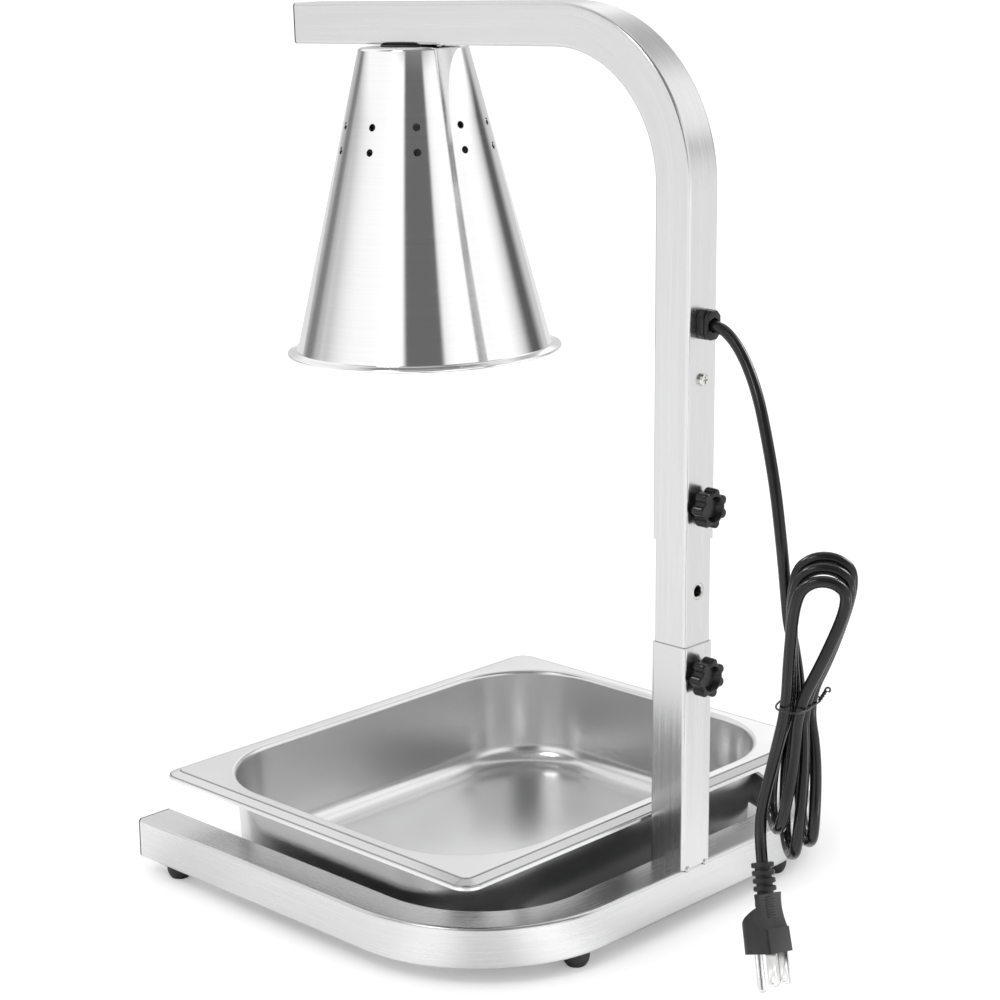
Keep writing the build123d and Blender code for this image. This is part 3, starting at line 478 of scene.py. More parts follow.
@dataclass(frozen=True)
class PressedSheet(Grained):
    """Pressed sheet with a rounded outline, with painted shade along the creases that follow its
    edge.
    """

    plain: Pair = (0.72, 1.0)
    middle_y: float = 0.0
    half: Pair = (162.5, 132.5)
    corner: float = 12.0
    # Distances in from the edge of the creases, where painted shade darkens the sheet, and the half
    # widths of that shade.
    creases: Pair = (1.0, 7.2)
    crease_shade_half: Pair = (0.25, 0.55)

    def from_edge(self, wiring: Wiring) -> NodeSocket:
        """Gives the distance inward from the outline, in millimetres.

        Args:
            wiring: the material's wiring.

        Returns:
            The distance.
        """
        x, y, _ = wiring.split(wiring.millimetres())
        past = []
        for place, middle, half in zip((x, y), (0.0, self.middle_y), self.half):
            away = wiring.sum("ABSOLUTE", wiring.sum("SUBTRACT", place, middle))
            past.append(wiring.sum("SUBTRACT", away, half - self.corner))
        outside = wiring.hypotenuse(*[wiring.sum("MAXIMUM", one, 0.0) for one in past])
        inside = wiring.sum("MINIMUM", wiring.sum("MAXIMUM", *past), 0.0)
        return wiring.sum("SUBTRACT", self.corner, wiring.sum("ADD", outside, inside))

    def pattern(self, wiring: Wiring, effects: Effects) -> tuple[Feed, Feed, Feed]:
        """Gives a tone with painted shade in the creases, the wear, and the grain as relief.

        Args:
            wiring: the material's wiring.
            effects: the shared effects.

        Returns:
            The tone, the wear and the relief.
        """
        grain, _, worn = self.layers(wiring, effects)
        tone = wiring.spread(worn, *self.plain[::-1])
        inward = self.from_edge(wiring)
        # Painted shade: the tone drops towards the dark colour along each crease.
        for crease in self.creases:
            away = wiring.sum("ABSOLUTE", wiring.sum("SUBTRACT", inward, crease))
            clear = wiring.spread(away, 0.0, 1.0, *self.crease_shade_half)
            tone = wiring.sum("MULTIPLY", tone, clear)
        return tone, worn, grain


@dataclass(frozen=True)
class Moulding(Grained):
    """Moulded plastic, rubber, ceramic or glass with a faint mould grain."""

    grain: float = 0.5
    gloss: float = 0.5

    def pattern(self, wiring: Wiring, effects: Effects) -> tuple[Feed, Feed, Feed]:
        """Gives the smears as tone, the wear, and the grain as relief."""
        grain, smears, worn = self.layers(wiring, effects)
        return smears, worn, grain

    def set_shine(self, shader: Node) -> None:
        """Sets the gloss of the moulding."""
        shader.inputs["Specular IOR Level"].default_value = self.gloss


# Modelling bench

class Element(Enum):
    """Kinds of mesh element that can be picked, by select mode and by their place in the mesh."""

    EDGE = "edges"
    FACE = "faces"


def select_only(piece: Object) -> None:
    """Selects one object and makes it the active one.

    Args:
        piece: the object.
    """
    bpy.ops.object.select_all(action="DESELECT")
    piece.select_set(True)
    bpy.context.view_layer.objects.active = piece


@contextmanager
def editing(piece: Object) -> Iterator[None]:
    """Opens a piece in edit mode with all of it selected, and closes it afterwards.

    Args:
        piece: the piece.

    Yields:
        Nothing, while the piece is open.
    """
    select_only(piece)
    bpy.ops.object.mode_set(mode="EDIT")
    bpy.ops.mesh.select_all(action="SELECT")
    yield
    bpy.ops.object.mode_set(mode="OBJECT")


def start(
    name: str, primitive: Callable[..., set[str]], scale: Sequence[float] = (1.0, 1.0, 1.0),
    **settings: object,
) -> Object:
    """Starts a piece from a primitive and puts its place into its mesh.

    Args:
        name: the piece's name.
        primitive: the operator that adds the primitive.
        scale: how far it is stretched along each axis.
        **settings: the operator's own settings.

    Returns:
        The piece.
    """
    bpy.ops.object.select_all(action="DESELECT")
    primitive(**settings)
    piece = bpy.context.active_object
    piece.name = name
    piece.scale = scale
    bpy.ops.object.transform_apply(location=True, rotation=True, scale=True)
    return piece


def block(name: str, low: Sequence[float], high: Sequence[float]) -> Object:
    """Adds a block between two corners."""
    middle, sides = (Vector(low) + Vector(high)) / 2, Vector(high) - Vector(low)
    return start(name, bpy.ops.mesh.primitive_cube_add, sides, size=1.0, location=middle)


def rod(name: str, first: Vector, last: Vector, radius: float, sides: int) -> Object:
    """Adds a round bar between two points.

    Args:
        name: the bar's name.
        first: the middle of one end.
        last: the middle of the other end.
        radius: its radius.
        sides: how many sides it has.

    Returns:
        The bar.
    """
    run = last - first
    return start(
        name, bpy.ops.mesh.primitive_cylinder_add, vertices=sides, radius=radius, depth=run.length,
        location=(first + last) / 2, rotation=run.to_track_quat("Z", "Y").to_euler(),
    )


def ring_stack(name: str, rings: Sequence[Pair], sides: int, solid: bool) -> Object:
    """Raises a round piece on the Z axis, one ring after another.

    Args:
        name: the piece's name.
        rings: the radius and height of each ring.
        sides: how many sides a ring has.
        solid: whether its ends are closed.

    Returns:
        The piece.
    """
    radius, height = rings[0]
    piece = start(
        name, bpy.ops.mesh.primitive_circle_add, vertices=sides, radius=radius,
        fill_type="NGON" if solid else "NOTHING", location=(0.0, 0.0, height),
    )
    with editing(piece):
        for next_radius, next_height in rings[1:]:
            rise = {"value": (0.0, 0.0, next_height - height)}
            bpy.ops.mesh.extrude_region_move(TRANSFORM_OT_translate=rise)
            grown = next_radius / radius
            middle = (0.0, 0.0, next_height)
            bpy.ops.transform.resize(value=(grown, grown, 1.0), center_override=middle)
            radius, height = next_radius, next_height
        bpy.ops.mesh.select_all(action="SELECT")
        bpy.ops.mesh.normals_make_consistent(inside=False)
    return piece


def pick(piece: Object, element: Element, test: Test) -> None:
    """Selects, in edit mode, the edges or faces whose corners all pass a test.

    Args:
        piece: the piece in edit mode.
        element: what is picked.
        test: says whether a corner belongs to it.
    """
    bpy.ops.mesh.select_mode(type=element.name)
    bpy.ops.mesh.select_all(action="DESELECT")
    mesh = bmesh.from_edit_mesh(piece.data)
    for part in getattr(mesh, element.value):
        part.select_set(all(test(corner.co) for corner in part.verts))
    bmesh.update_edit_mesh(piece.data)


def level_at(height: float) -> Test:
    """Makes the test for a corner at a height."""
    return lambda corner: abs(corner.z - height) < NEAR


def round_edges(piece: Object, test: Test, width: float, steps: int) -> None:
    """Rounds the edges whose two ends pass a test.

    Args:
        piece: the piece.
        test: says whether a corner belongs to such an edge.
        width: how far the round reaches from the edge.
        steps: how many steps it has.
    """
    with editing(piece):
        pick(piece, Element.EDGE, test)
        bpy.ops.mesh.bevel(offset=width, segments=steps, affect="EDGES")


def change(piece: Object, kind: str, **settings: object) -> None:
    """Changes a piece for good by a modifier.

    Args:
        piece: the piece.
        kind: the kind of modifier, as Blender names it.
        **settings: the modifier's own settings.
    """
    select_only(piece)
    modifier = piece.modifiers.new(kind.lower(), kind)
    for name, value in settings.items():
        setattr(modifier, name, value)
    bpy.ops.object.modifier_apply(modifier=modifier.name)


def cut(piece: Object, tool: Object, operation: str = "DIFFERENCE") -> None:
    """Cuts a piece with a tool, which is used up; the operation says what is kept."""
    change(piece, "BOOLEAN", operation=operation, object=tool, solver="EXACT")
    bpy.data.objects.remove(tool)


def soften(piece: Object, width: float, steps: int) -> None:
    """Rounds every sharp edge of a piece."""
    limit = {"limit_method": "ANGLE", "angle_limit": SHARP_ABOVE}
    change(piece, "BEVEL", width=width, segments=steps, **limit)


def join(piece: Object, others: Sequence[Object]) -> Object:
    """Joins other pieces into one.

    Args:
        piece: the piece that stays.
        others: the pieces that go into it.

    Returns:
        The piece.
    """
    select_only(piece)
    for other in others:
        other.select_set(True)
    bpy.ops.object.join()
    return piece


def settle(piece: Object, place: Matrix, finish: Material) -> None:
    """Puts a finished piece in its place, smooths it and gives it its material.

    Args:
        piece: the piece.
        place: where its own axes go.
        finish: its material.
    """
    piece.data.transform(place)
    select_only(piece)
    bpy.ops.object.shade_smooth_by_angle(angle=SMOOTH_BELOW)
    piece.data.materials.clear()
    piece.data.materials.append(finish)


def hand_over(piece: Object, body: str, node: str) -> Object:
    """Hangs a finished piece on the body that carries it and hides the solid that it stands for.

    Args:
        piece: the piece.
        body: the body that carries it.
        node: the solid that it replaces.

    Returns:
        The piece.
    """
    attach(piece, body)
    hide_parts(node)
    return piece


def sweep(
    name: str, points: Sequence[Vector], radius: float, rings: int, sides: int
) -> tuple[Object, list[Place]]:
    """Runs a round tube along a smooth line.

    Args:
        name: the piece's name.
        points: the line's control points.
        radius: the tube's radius.
        rings: rings for each control point.
        sides: how finely the tube is rounded.

    Returns:
        The tube as a mesh object, and the line that it follows.
    """
    curve = bpy.data.curves.new(name, "CURVE")
    curve.dimensions = "3D"
    curve.resolution_u = rings
    spline = curve.splines.new("NURBS")
    spline.points.add(len(points) - 1)
    for point, place in zip(spline.points, points):
        point.co = (*place, 1.0)
    spline.order_u = CURVE_ORDER
    spline.use_endpoint_u = True
    piece = bpy.data.objects.new(name, curve)
    bpy.context.collection.objects.link(piece)
    bpy.context.view_layer.update()
    drawn = bpy.data.meshes.new_from_object(piece)
    line = [tuple(vertex.co) for vertex in drawn.vertices]
    bpy.data.meshes.remove(drawn)
    curve.bevel_depth = radius
    curve.bevel_resolution = sides
    curve.use_fill_caps = True
    select_only(piece)
    bpy.ops.object.convert(target="MESH")
    piece = bpy.context.view_layer.objects.active
    piece.name = name
    bpy.ops.object.shade_smooth()
    return piece, line


# Shade

@dataclass
class Shade:
    """Spun steel cone with two rows of vents and a rolled lip, hung under the arm."""

    head: Vector
    droop: float
    sheet: float = 0.8 * MM
    bore: float = 5.15 * MM
    roof: float = 1.2 * MM
    roof_radius: float = 26.0 * MM
    shoulder: Pair = (33.0 * MM, 1.7 * MM)
    skirt: Pair = (78.1 * MM, 183.6 * MM)
    lip: Pair = (83.7 * MM, 184.9 * MM)
    shoulder_round: float = 1.3 * MM
    skirt_round: float = 1.0 * MM
    round_steps: int = 5
    bead: float = 1.0 * MM
    bead_sides: int = 14
    vent_rows: Pair = (46.5 * MM, 61.0 * MM)
    vent_count: int = 10
    vent_radius: float = 2.3 * MM
    vent_sides: int = 28
    vent_start: float = math.radians(46.0)
    vent_margin: float = 3.4 * MM
    punch_reach: float = 9.2 * MM
    sides: int = 256

    def cone_radius(self, down: float) -> float:
        """Gives the cone's radius at a depth under the arm."""
        share = (down - self.shoulder[1]) / (self.skirt[1] - self.shoulder[1])
        return self.shoulder[0] + share * (self.skirt[0] - self.shoulder[0])

    def rings(self) -> list[Pair]:
        """Lists the sheet's rings from the bore to the lip, one on each side of a row of vents.

        Returns:
            The radius and height of each ring.
        """
        rings = [(self.bore, self.roof), (self.roof_radius, self.roof), self.shoulder]
        for row in self.vent_rows:
            for down in (row - self.vent_margin, row + self.vent_margin):
                rings.append((self.cone_radius(down), down))
        return [(radius, -down) for radius, down in (*rings, self.skirt, self.lip)]

    def punch_vents(self, shade: Object) -> None:
        """Punches the two rows of vents through the sheet of the shade.

        Args:
            shade: the shade.
        """
        rise, run = self.skirt[0] - self.shoulder[0], self.skirt[1] - self.shoulder[1]
        slope = math.atan2(rise, run)
        punches = []
        for row in self.vent_rows:
            for number in range(self.vent_count):
                turn = self.vent_start + number * math.tau / self.vent_count
                level = Vector((math.cos(turn), math.sin(turn), 0.0))
                spot = level * self.cone_radius(row) - Vector((0.0, 0.0, row))
                out = level * math.cos(slope) + Vector((0.0, 0.0, math.sin(slope)))
                ends = (spot - out * self.punch_reach, spot + out * self.punch_reach)
                punches.append(rod("vent", *ends, self.vent_radius, self.vent_sides))
        cut(shade, join(punches[0], punches[1:]))

    def roll_lip(self, shade: Object) -> None:
        """Adds the rolled bead at the lip of the shade.

        Args:
            shade: the shade.
        """
        bead = start(
            "bead", bpy.ops.mesh.primitive_torus_add, location=(0.0, 0.0, -self.lip[1]),
            major_segments=self.sides, minor_segments=self.bead_sides,
            major_radius=self.lip[0], minor_radius=self.bead,
        )
        join(shade, [bead])

    def build(self, finish: Material) -> Object:
        """Builds the shade.

        Args:
            finish: its material.

        Returns:
            The shade, in place.
        """
        shade = ring_stack("spun_shade", self.rings(), self.sides, solid=False)
        round_edges(shade, level_at(-self.shoulder[1]), self.shoulder_round, self.round_steps)
        round_edges(shade, level_at(-self.skirt[1]), self.skirt_round, self.round_steps)
        change(shade, "SOLIDIFY", thickness=self.sheet, offset=0.0)
        self.punch_vents(shade)
        self.roll_lip(shade)
        settle(shade, Matrix.Translation(self.head) @ Matrix.Rotation(self.droop, 4, "X"), finish)
        return hand_over(shade, "lamp_head", "lamp_shade")


# Pan

@dataclass
class PressedPan:
    """Pan pressed from one sheet: a drafted tub, a flat flange, a sloping lip and a turned edge."""

    middle_y: float
    length: float = 325.0 * MM
    width: float = 265.0 * MM
    depth: float = 65.0 * MM
    sheet: float = 0.9 * MM
    corner: float = 12.0 * MM
    open_length: float = 294.0 * MM
    open_width: float = 234.0 * MM
    open_corner: float = 60.0 * MM
    draft: float = math.radians(4.0)
    mouth_round: float = 3.0 * MM
    cove: float = 14.0 * MM
    floor_margin: float = 2.0 * MM
    corner_steps: int = 16
    arc_steps: int = 10
    edge_end: float = 4.8 * MM

    EDGE = (
        (0.0, 3.1), (0.25, 2.75), (0.75, 2.6), (0.95, 2.95), (1.2, 2.2), (6.9, 0.6), (7.15, 1.05),
        (7.45, 0.0),
    )

    def outline(self, name: str, sides: Pair, corner: float, height: float) -> Object:
        """Adds a flat plate with round corners.

        Args:
            name: the plate's name.
            sides: its sizes along X and Y.
            corner: the radius of its corners.
            height: its height.

        Returns:
            The plate.
        """
        add = bpy.ops.mesh.primitive_plane_add
        plate = start(name, add, (*sides, 1.0), size=1.0, location=(0.0, 0.0, height))
        with editing(plate):
            bpy.ops.mesh.bevel(offset=corner, segments=self.corner_steps, affect="VERTICES")
        return plate

    def press(self, plate: Object, height: float, steps: Sequence[Pair]) -> None:
        """Presses a flat face inward and down, one step after another.

        Args:
            plate: the plate.
            height: where the face lies.
            steps: how far in and how far down each step ends, from the one that is there.
        """
        was_in, was_down = steps[0]
        with editing(plate):
            pick(plate, Element.FACE, level_at(height))
            for set_in, down in steps[1:]:
                bpy.ops.mesh.inset(thickness=set_in - was_in, depth=was_down - down)
                was_in, was_down = set_in, down

    def drop_face(self, plate: Object, height: float) -> None:
        """Takes away the face that lies flat at a height and leaves its edges.

        Args:
            plate: the plate.
            height: where the face lies.
        """
        with editing(plate):
            pick(plate, Element.FACE, level_at(height))
            bpy.ops.mesh.delete(type="ONLY_FACE")

    def tub_steps(self) -> list[Pair]:
        """Lists how far in and down the tub's section runs, from the flange to its floor.

        Returns:
            How far in and how far down each step ends.
        """
        turn = math.pi / 2 - self.draft
        steps = [(0.0, 0.0)]
        for number in range(1, self.arc_steps + 1):
            angle = turn * number / self.arc_steps
            rounded = (math.sin(angle), 1 - math.cos(angle))
            steps.append((self.mouth_round * rounded[0], self.mouth_round * rounded[1]))
        floor = self.depth - self.sheet
        wall_end = floor - self.cove * (1 - math.sin(self.draft))
        wall_in = steps[-1][0] + (wall_end - steps[-1][1]) * math.tan(self.draft)
        centre = wall_in + self.cove * math.cos(self.draft)
        for number in range(self.arc_steps + 1):
            angle = self.draft + turn * number / self.arc_steps
            down = floor - self.cove * (1 - math.sin(angle))
            steps.append((centre - self.cove * math.cos(angle), down))
        return steps + [(centre + self.floor_margin, floor)]

    def press_tub(self) -> Object:
        """Builds the tub from the flange down.

        Returns:
            The tub.
        """
        grown = 2 * self.mouth_round
        sides = (self.open_length + grown, self.open_width + grown)
        tub = self.outline("tub", sides, self.open_corner + self.mouth_round, self.depth)
        self.press(tub, self.depth, self.tub_steps())
        return tub

    def press_rim(self) -> Object:
        """Builds the rim from its turned edge in to the flange.

        Returns:
            The rim.
        """
        edge = [(set_in * MM, down * MM) for set_in, down in self.EDGE]
        foot, top = self.depth - self.edge_end, self.depth - edge[0][1]
        rim = self.outline("pressed_pan", (self.length, self.width), self.corner, foot)
        with editing(rim):
            rise = {"value": (0.0, 0.0, top - foot)}
            bpy.ops.mesh.extrude_region_move(TRANSFORM_OT_translate=rise)
        self.press(rim, top, edge)
        for height in (foot, self.depth):
            self.drop_face(rim, height)
        return rim

    def build(self, finish: Material) -> Object:
        """Builds the pan.

        Args:
            finish: its material.

        Returns:
            The pan, in place.
        """
        tub = self.press_tub()
        pan = join(self.press_rim(), [tub])
        with editing(pan):
            pick(pan, Element.EDGE, level_at(self.depth))
            bpy.ops.mesh.bridge_edge_loops()
            bpy.ops.mesh.select_all(action="SELECT")
            bpy.ops.mesh.normals_make_consistent(inside=False)
            faces = bmesh.from_edit_mesh(pan.data).faces
            if max(faces, key=lambda face: face.calc_area()).normal.z < 0:
                bpy.ops.mesh.flip_normals()
        change(pan, "SOLIDIFY", thickness=self.sheet, offset=-1.0)
        settle(pan, Matrix.Translation((0.0, self.middle_y, 0.0)), finish)
        return hand_over(pan, "pan", "food_pan")


# Cord

@dataclass
class MainsCord:
    """Black cord: a free lead down from the gland, then a tied hank whose tail ends in the plug."""

    post_y: float
    thick: float = 6.4 * MM
    length: float = 1.36
    start_out: float = 14.5 * MM
    exit_out: float = 20.6 * MM
    exit_height: float = 356.6 * MM
    waist: Place = (41.1 * MM, 114.1 * MM, 169.8 * MM)
    facing: float = math.radians(43.9)
    turn_waist: float = math.radians(27.0)
    turn_top: Pair = (math.radians(10.0), 50.0 * MM)
    turn_low: Pair = (math.radians(85.0), 60.0 * MM)
    lean: float = 0.2
    lean_end: float = 62.0 * MM
    trail: float = 0.03
    pitch: float = 7.4 * MM
    fan: float = 2.5
    waist_half: float = 2.4 * MM
    low_half: float = 17.0 * MM
    draw_up: Pair = (26.0 * MM, 0.62)
    draw_down: Pair = (-30.0 * MM, 0.5)
    climb_top: float = 42.0 * MM
    climb_span: float = 85.0 * MM
    plug_across: float = -18.7 * MM
    plug_toward: float = 12.0 * MM
    plug_top: float = 84.0 * MM
    plug_tilt: float = math.radians(4.6)
    plug_pitch: float = math.radians(22.0)
    plug_yaw: float = math.radians(35.0)
    last_run: float = 18.0 * MM
    blend_top: float = 345.0 * MM
    blend_low: float = 254.0 * MM
    rings: int = 10
    sides: int = 7

    LEAD = (
        (0.0, 24.0, 356.6), (0.9, 33.0, 352.0), (2.9, 41.4, 345.4), (6.6, 50.8, 336.4),
        (12.2, 62.0, 322.6), (19.0, 73.4, 302.6), (26.4, 85.0, 280.0), (32.2, 93.6, 256.5),
    )
    START = ((54.0, 19.0, -2.0), (39.0, 15.5, -1.95))
    LOOPS = ((17.0, 78.0, 78.0), (16.0, 74.0, 85.0), (14.5, 69.0, 70.0))
    TAIL = ((-13.0, 9.5, -27.0), (-17.4, 8.0, -49.0))
    OCTAGON = math.tan(math.pi / 8)

    def __post_init__(self) -> None:
        """Works out the hank's and the plug's own directions."""
        self.across = Vector((-math.sin(self.facing), math.cos(self.facing), 0.0))
        self.toward = Vector((math.cos(self.facing), math.sin(self.facing), 0.0))
        self.up = Vector((0.0, 0.0, 1.0))
        self.middle = Vector((self.waist[0], self.post_y + self.waist[1], self.waist[2]))
        self.exit = Vector((0.0, self.post_y + self.exit_out, self.exit_height))
        pitched = self.up * math.cos(self.plug_pitch) - self.toward * math.sin(self.plug_pitch)
        right = self.across * math.cos(self.plug_tilt) + pitched * math.sin(self.plug_tilt)
        self.plug_up = pitched * math.cos(self.plug_tilt) - self.across * math.sin(self.plug_tilt)
        ahead = right.cross(self.plug_up)
        self.plug_side = right * math.cos(self.plug_yaw) + ahead * math.sin(self.plug_yaw)
        over = self.at(self.plug_across, self.plug_toward, 0.0)
        self.plug_head = Vector((over.x, over.y, self.plug_top))

    def at(self, across: float, toward: float, height: float) -> Vector:
        """Gives the place at a distance across, toward and above the hank's waist."""
        return self.middle + self.across * across + self.toward * toward + self.up * height

    def plug_place(self) -> Matrix:
        """Gives the plug's place: its flat side along X, its cord end up Z, its head at 0."""
        axes = (self.plug_side, self.plug_up.cross(self.plug_side), self.plug_up)
        return Matrix.Translation(self.plug_head) @ Matrix(axes).transposed().to_4x4()

    def turned(self, height: float) -> float:
        """Gives how far the loops have turned at a height."""
        end, end_at = self.turn_top if height > 0 else self.turn_low
        return self.turn_waist + (end - self.turn_waist) * min(abs(height) / end_at, 1.0)

    def strand(self, side: float, layer: float, height: float, half: float) -> Vector:
        """Places one strand of the hank.

        Args:
            side: -1 for the left run, 1 for the right one.
            layer: its layer, counted from the middle one.
            height: its height over the waist.
            half: its distance from the middle of its loop.

        Returns:
            The strand's place.
        """
        turned = self.turned(height)
        stacked = layer * self.pitch * (1 + self.fan * max(-height, 0.0))
        lean = self.lean * min(height, self.lean_end) if height > 0 else self.trail * height
        across = side * half * math.cos(turned) - stacked * math.sin(turned) + lean
        toward = side * half * math.sin(turned) + stacked * math.cos(turned)
        return self.at(across, toward, height)

    def runs(self, top_half: float) -> tuple[Pair, ...]:
        """Lists the heights and half widths of a loop's two runs, from its top down.

        Args:
            top_half: half the width of the loop above them.

        Returns:
            The heights with their half widths.
        """
        return (
            (self.draw_up[0], self.draw_up[1] * top_half),
            (0.0, self.waist_half),
            (self.draw_down[0], self.draw_down[1] * self.low_half),
        )

    def left_run(self, number: int, top_half: float) -> list[Vector]:
        """Lists the points of a left run, which climbs one layer on its way down.

        Args:
            number: which left run it is.
            top_half: half the width of the loop above it.

        Returns:
            Its points.
        """
        return [
            self.strand(-1, number - 2 + (self.climb_top - height) / self.climb_span, height, half)
            for height, half in self.runs(top_half)
        ]

    def right_run(self, layer: float, top_half: float) -> list[Vector]:
        """Lists the points of a right run, which stays in its layer on its way up."""
        upward = self.runs(top_half)[::-1]
        return [self.strand(1, layer, height, half) for height, half in upward]

    def half_turn(self, layer: float, side: int, height: float, half: float) -> list[Vector]:
        """Lists the corners of a half turn at the top or the bottom of a loop.

        Args:
            layer: the loop's layer.
            side: the side that it comes from.
            height: its furthest height from the waist.
            half: half its width.

        Returns:
            Its four corners.
        """
        inward = half * (1 - self.OCTAGON)
        shoulder = height - inward if height > 0 else height + inward
        near = side * self.OCTAGON
        corners = ((side, shoulder), (near, height), (-near, height), (-side, shoulder))
        return [self.strand(place, layer, level, half) for place, level in corners]

    def hank(self) -> list[Vector]:
        """Lists the points of the hank and of its tail down to the plug.

        Returns:
            The points.
        """
        points = [
            self.strand(-1, layer, height * MM, half * MM) for height, half, layer in self.START
        ]
        top_half = self.LOOPS[0][0] * MM
        for number, sizes in enumerate(self.LOOPS):
            half, top, drop = (size * MM for size in sizes)
            layer = number - 1
            points += self.left_run(number, top_half)
            points += self.half_turn(layer, -1, -drop, self.low_half)
            points += self.right_run(layer, half)
            points += self.half_turn(layer, 1, top, half)
            top_half = half
        points += self.left_run(len(self.LOOPS), top_half)[:2]
        points += [self.at(*(size * MM for size in place)) for place in self.TAIL]
        return points + [self.plug_head + self.plug_up * self.last_run, self.plug_head]

    def route(self) -> list[Vector]:
        """Lists the points of the whole cord, from inside the gland to the plug.

        Returns:
            The points.
        """
        hank = self.hank()
        entry = hank[0] + (hank[0] - hank[1]).normalized() * self.last_run
        inside = Vector((0.0, self.post_y + self.start_out, self.exit_height))
        lead = [
            Vector((x * MM, self.post_y + out * MM, height * MM)) for x, out, height in self.LEAD
        ]
        return [inside] + lead + [entry] + hank

    def build(self, finish: Material) -> tuple[Object, list[Place]]:
        """Builds the cord as one tube.

        Args:
            finish: the cord's material.

        Returns:
            The tube, as a mesh, and the line that it follows.
        """
        cord, line = sweep("power_cord", self.route(), self.thick / 2, self.rings, self.sides)
        cord.data.materials.append(finish)
        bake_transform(cord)
        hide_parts("cord_lead", "cord_hank")
        return cord, line


@dataclass
class MainsPlug:
    """Moulded plug with a ribbed sleeve, a thumb grip and a folded ground pin, cord end up."""

    place: Matrix
    face: float = 48.0 * MM
    grip_top: float = 16.6 * MM
    flat_side: float = 6.6 * MM
    half_width: float = 13.2 * MM
    flat_corner: float = 2.0 * MM
    corner_steps: int = 5
    pin_across: float = -8.0 * MM
    pin_lobe: float = 7.1 * MM
    lobe_share: float = 0.98
    lobe_steps: int = 10
    ledge: Pair = (5.8 * MM, -34.9 * MM)
    grip_back: float = -1.2 * MM
    arch_centre: Pair = (6.18 * MM, -49.46 * MM)
    arch_radius: float = 26.89 * MM
    arch_foot: float = -36.0 * MM
    hollow_centre: Pair = (46.57 * MM, -21.99 * MM)
    hollow_radius: float = 44.11 * MM
    bar_sides: int = 160
    rib_count: int = 8
    rib_top: float = -18.6 * MM
    rib_pitch: float = 1.45 * MM
    rib_tall: float = 0.5
    rib_high: float = 0.5 * MM
    rib_half: float = 5.0 * MM
    rib_edge: float = 0.2 * MM
    edge: float = 1.3 * MM
    edge_steps: int = 4
    fine_steps: int = 2
    relief: float = 16.6 * MM
    relief_rings: int = 4
    relief_radius: float = 6.2 * MM
    relief_core: float = 4.5 * MM
    relief_share: float = 0.68
    relief_edge: float = 0.5 * MM
    relief_root: float = 0.2 * MM
    relief_sides: int = 48
    rings_behind: int = 2
    pin_radius: float = 2.4 * MM
    pin_length: float = 21.0 * MM
    pin_tip: float = 2.1 * MM
    pin_root: float = 1.0 * MM
    pin_sides: int = 40
    pin_steps: int = 6
    blade: Place = (6.3 * MM, 1.5 * MM, 17.5 * MM)
    blade_across: float = 3.2 * MM
    blade_spacing: float = 12.7 * MM
    blade_round: float = 2.0 * MM
    blade_edge: float = 0.15 * MM
    blade_hole: float = 1.6 * MM
    blade_hole_up: float = 3.4 * MM
    hole_sides: int = 28
    slit: float = 0.55 * MM
    slit_floor: float = 0.48 * MM
    slit_turn: float = math.radians(30.0)
    room: float = 40.0 * MM

    def through_bar(self, centre: Pair, radius: float) -> Object:
        """Adds a round bar that lies right across the plug."""
        first = Vector((centre[0], -self.room, centre[1]))
        return rod("bar", first, first + Vector((0.0, 2 * self.room, 0.0)), radius, self.bar_sides)

    def blank(self) -> Object:
        """Builds the plug's prism: a slanted flat side at the blades and a round end at the pin.

        Returns:
            The prism.
        """
        low = (self.pin_across, -self.half_width, -self.face)
        piece = block("mains_plug", low, (self.flat_side, self.half_width, -self.grip_top))
        back = self.pin_across - self.pin_lobe
        tall = self.face - self.grip_top
        slant = (self.flat_side - self.ledge[0]) * tall / (self.face + self.ledge[1])
        with editing(piece):
            pick(piece, Element.FACE, lambda corner: corner.x < self.pin_across + NEAR)
            narrowed, middle = self.pin_lobe / self.half_width, (self.pin_across, 0.0, 0.0)
            bpy.ops.transform.resize(value=(1.0, narrowed, 1.0), center_override=middle)
            outward = {"value": (-self.pin_lobe, 0.0, 0.0)}
            bpy.ops.mesh.extrude_region_move(TRANSFORM_OT_translate=outward)
            top = -self.grip_top - NEAR
            pick(piece, Element.EDGE, lambda corner: corner.x > 0 and corner.z > top)
            bpy.ops.transform.translate(value=(-slant, 0.0, 0.0))
        lobe = self.lobe_share * self.pin_lobe
        for side in (-1, 1):
            round_edges(
                piece, lambda corner: abs(corner.x - back) < NEAR and corner.y * side > 0,
                lobe, self.lobe_steps,
            )
            round_edges(
                piece, lambda corner: corner.x > 0 and corner.y * side > 0,
                self.flat_corner, self.corner_steps,
            )
        return piece

    def shape_sides(self, piece: Object) -> None:
        """Arches the plug's shoulder and hollows its thumb side down to the ledge.

        Args:
            piece: the plug's prism.
        """
        low = (-self.room, -self.room, self.arch_foot)
        shoulder = block("shoulder", low, (self.grip_back, self.room, 0.0))
        cut(shoulder, self.through_bar(self.arch_centre, self.arch_radius))
        cut(piece, shoulder)
        thumb = self.through_bar(self.hollow_centre, self.hollow_radius)
        low = (-self.room, -self.room, self.ledge[1])
        cut(thumb, block("above", low, (self.room, self.room, self.room)), "INTERSECT")
        cut(piece, thumb)

    def grip_ribs(self) -> list[Object]:
        """Lists the ribs that stand on the hollow of the grip.

        Returns:
            The ribs.
        """
        ribs = []
        for number in range(self.rib_count):
            middle = self.rib_top - number * self.rib_pitch
            rise = middle - self.hollow_centre[1]
            floor = self.hollow_centre[0] - math.sqrt(self.hollow_radius ** 2 - rise ** 2)
            half = self.rib_tall * self.rib_pitch / 2
            low = (floor - self.rib_high, -self.rib_half, middle - half)
            high = (floor + self.rib_high, self.rib_half, middle + half)
            ribs.append(block("rib", low, high))
            soften(ribs[-1], self.rib_edge, self.fine_steps)
        return ribs

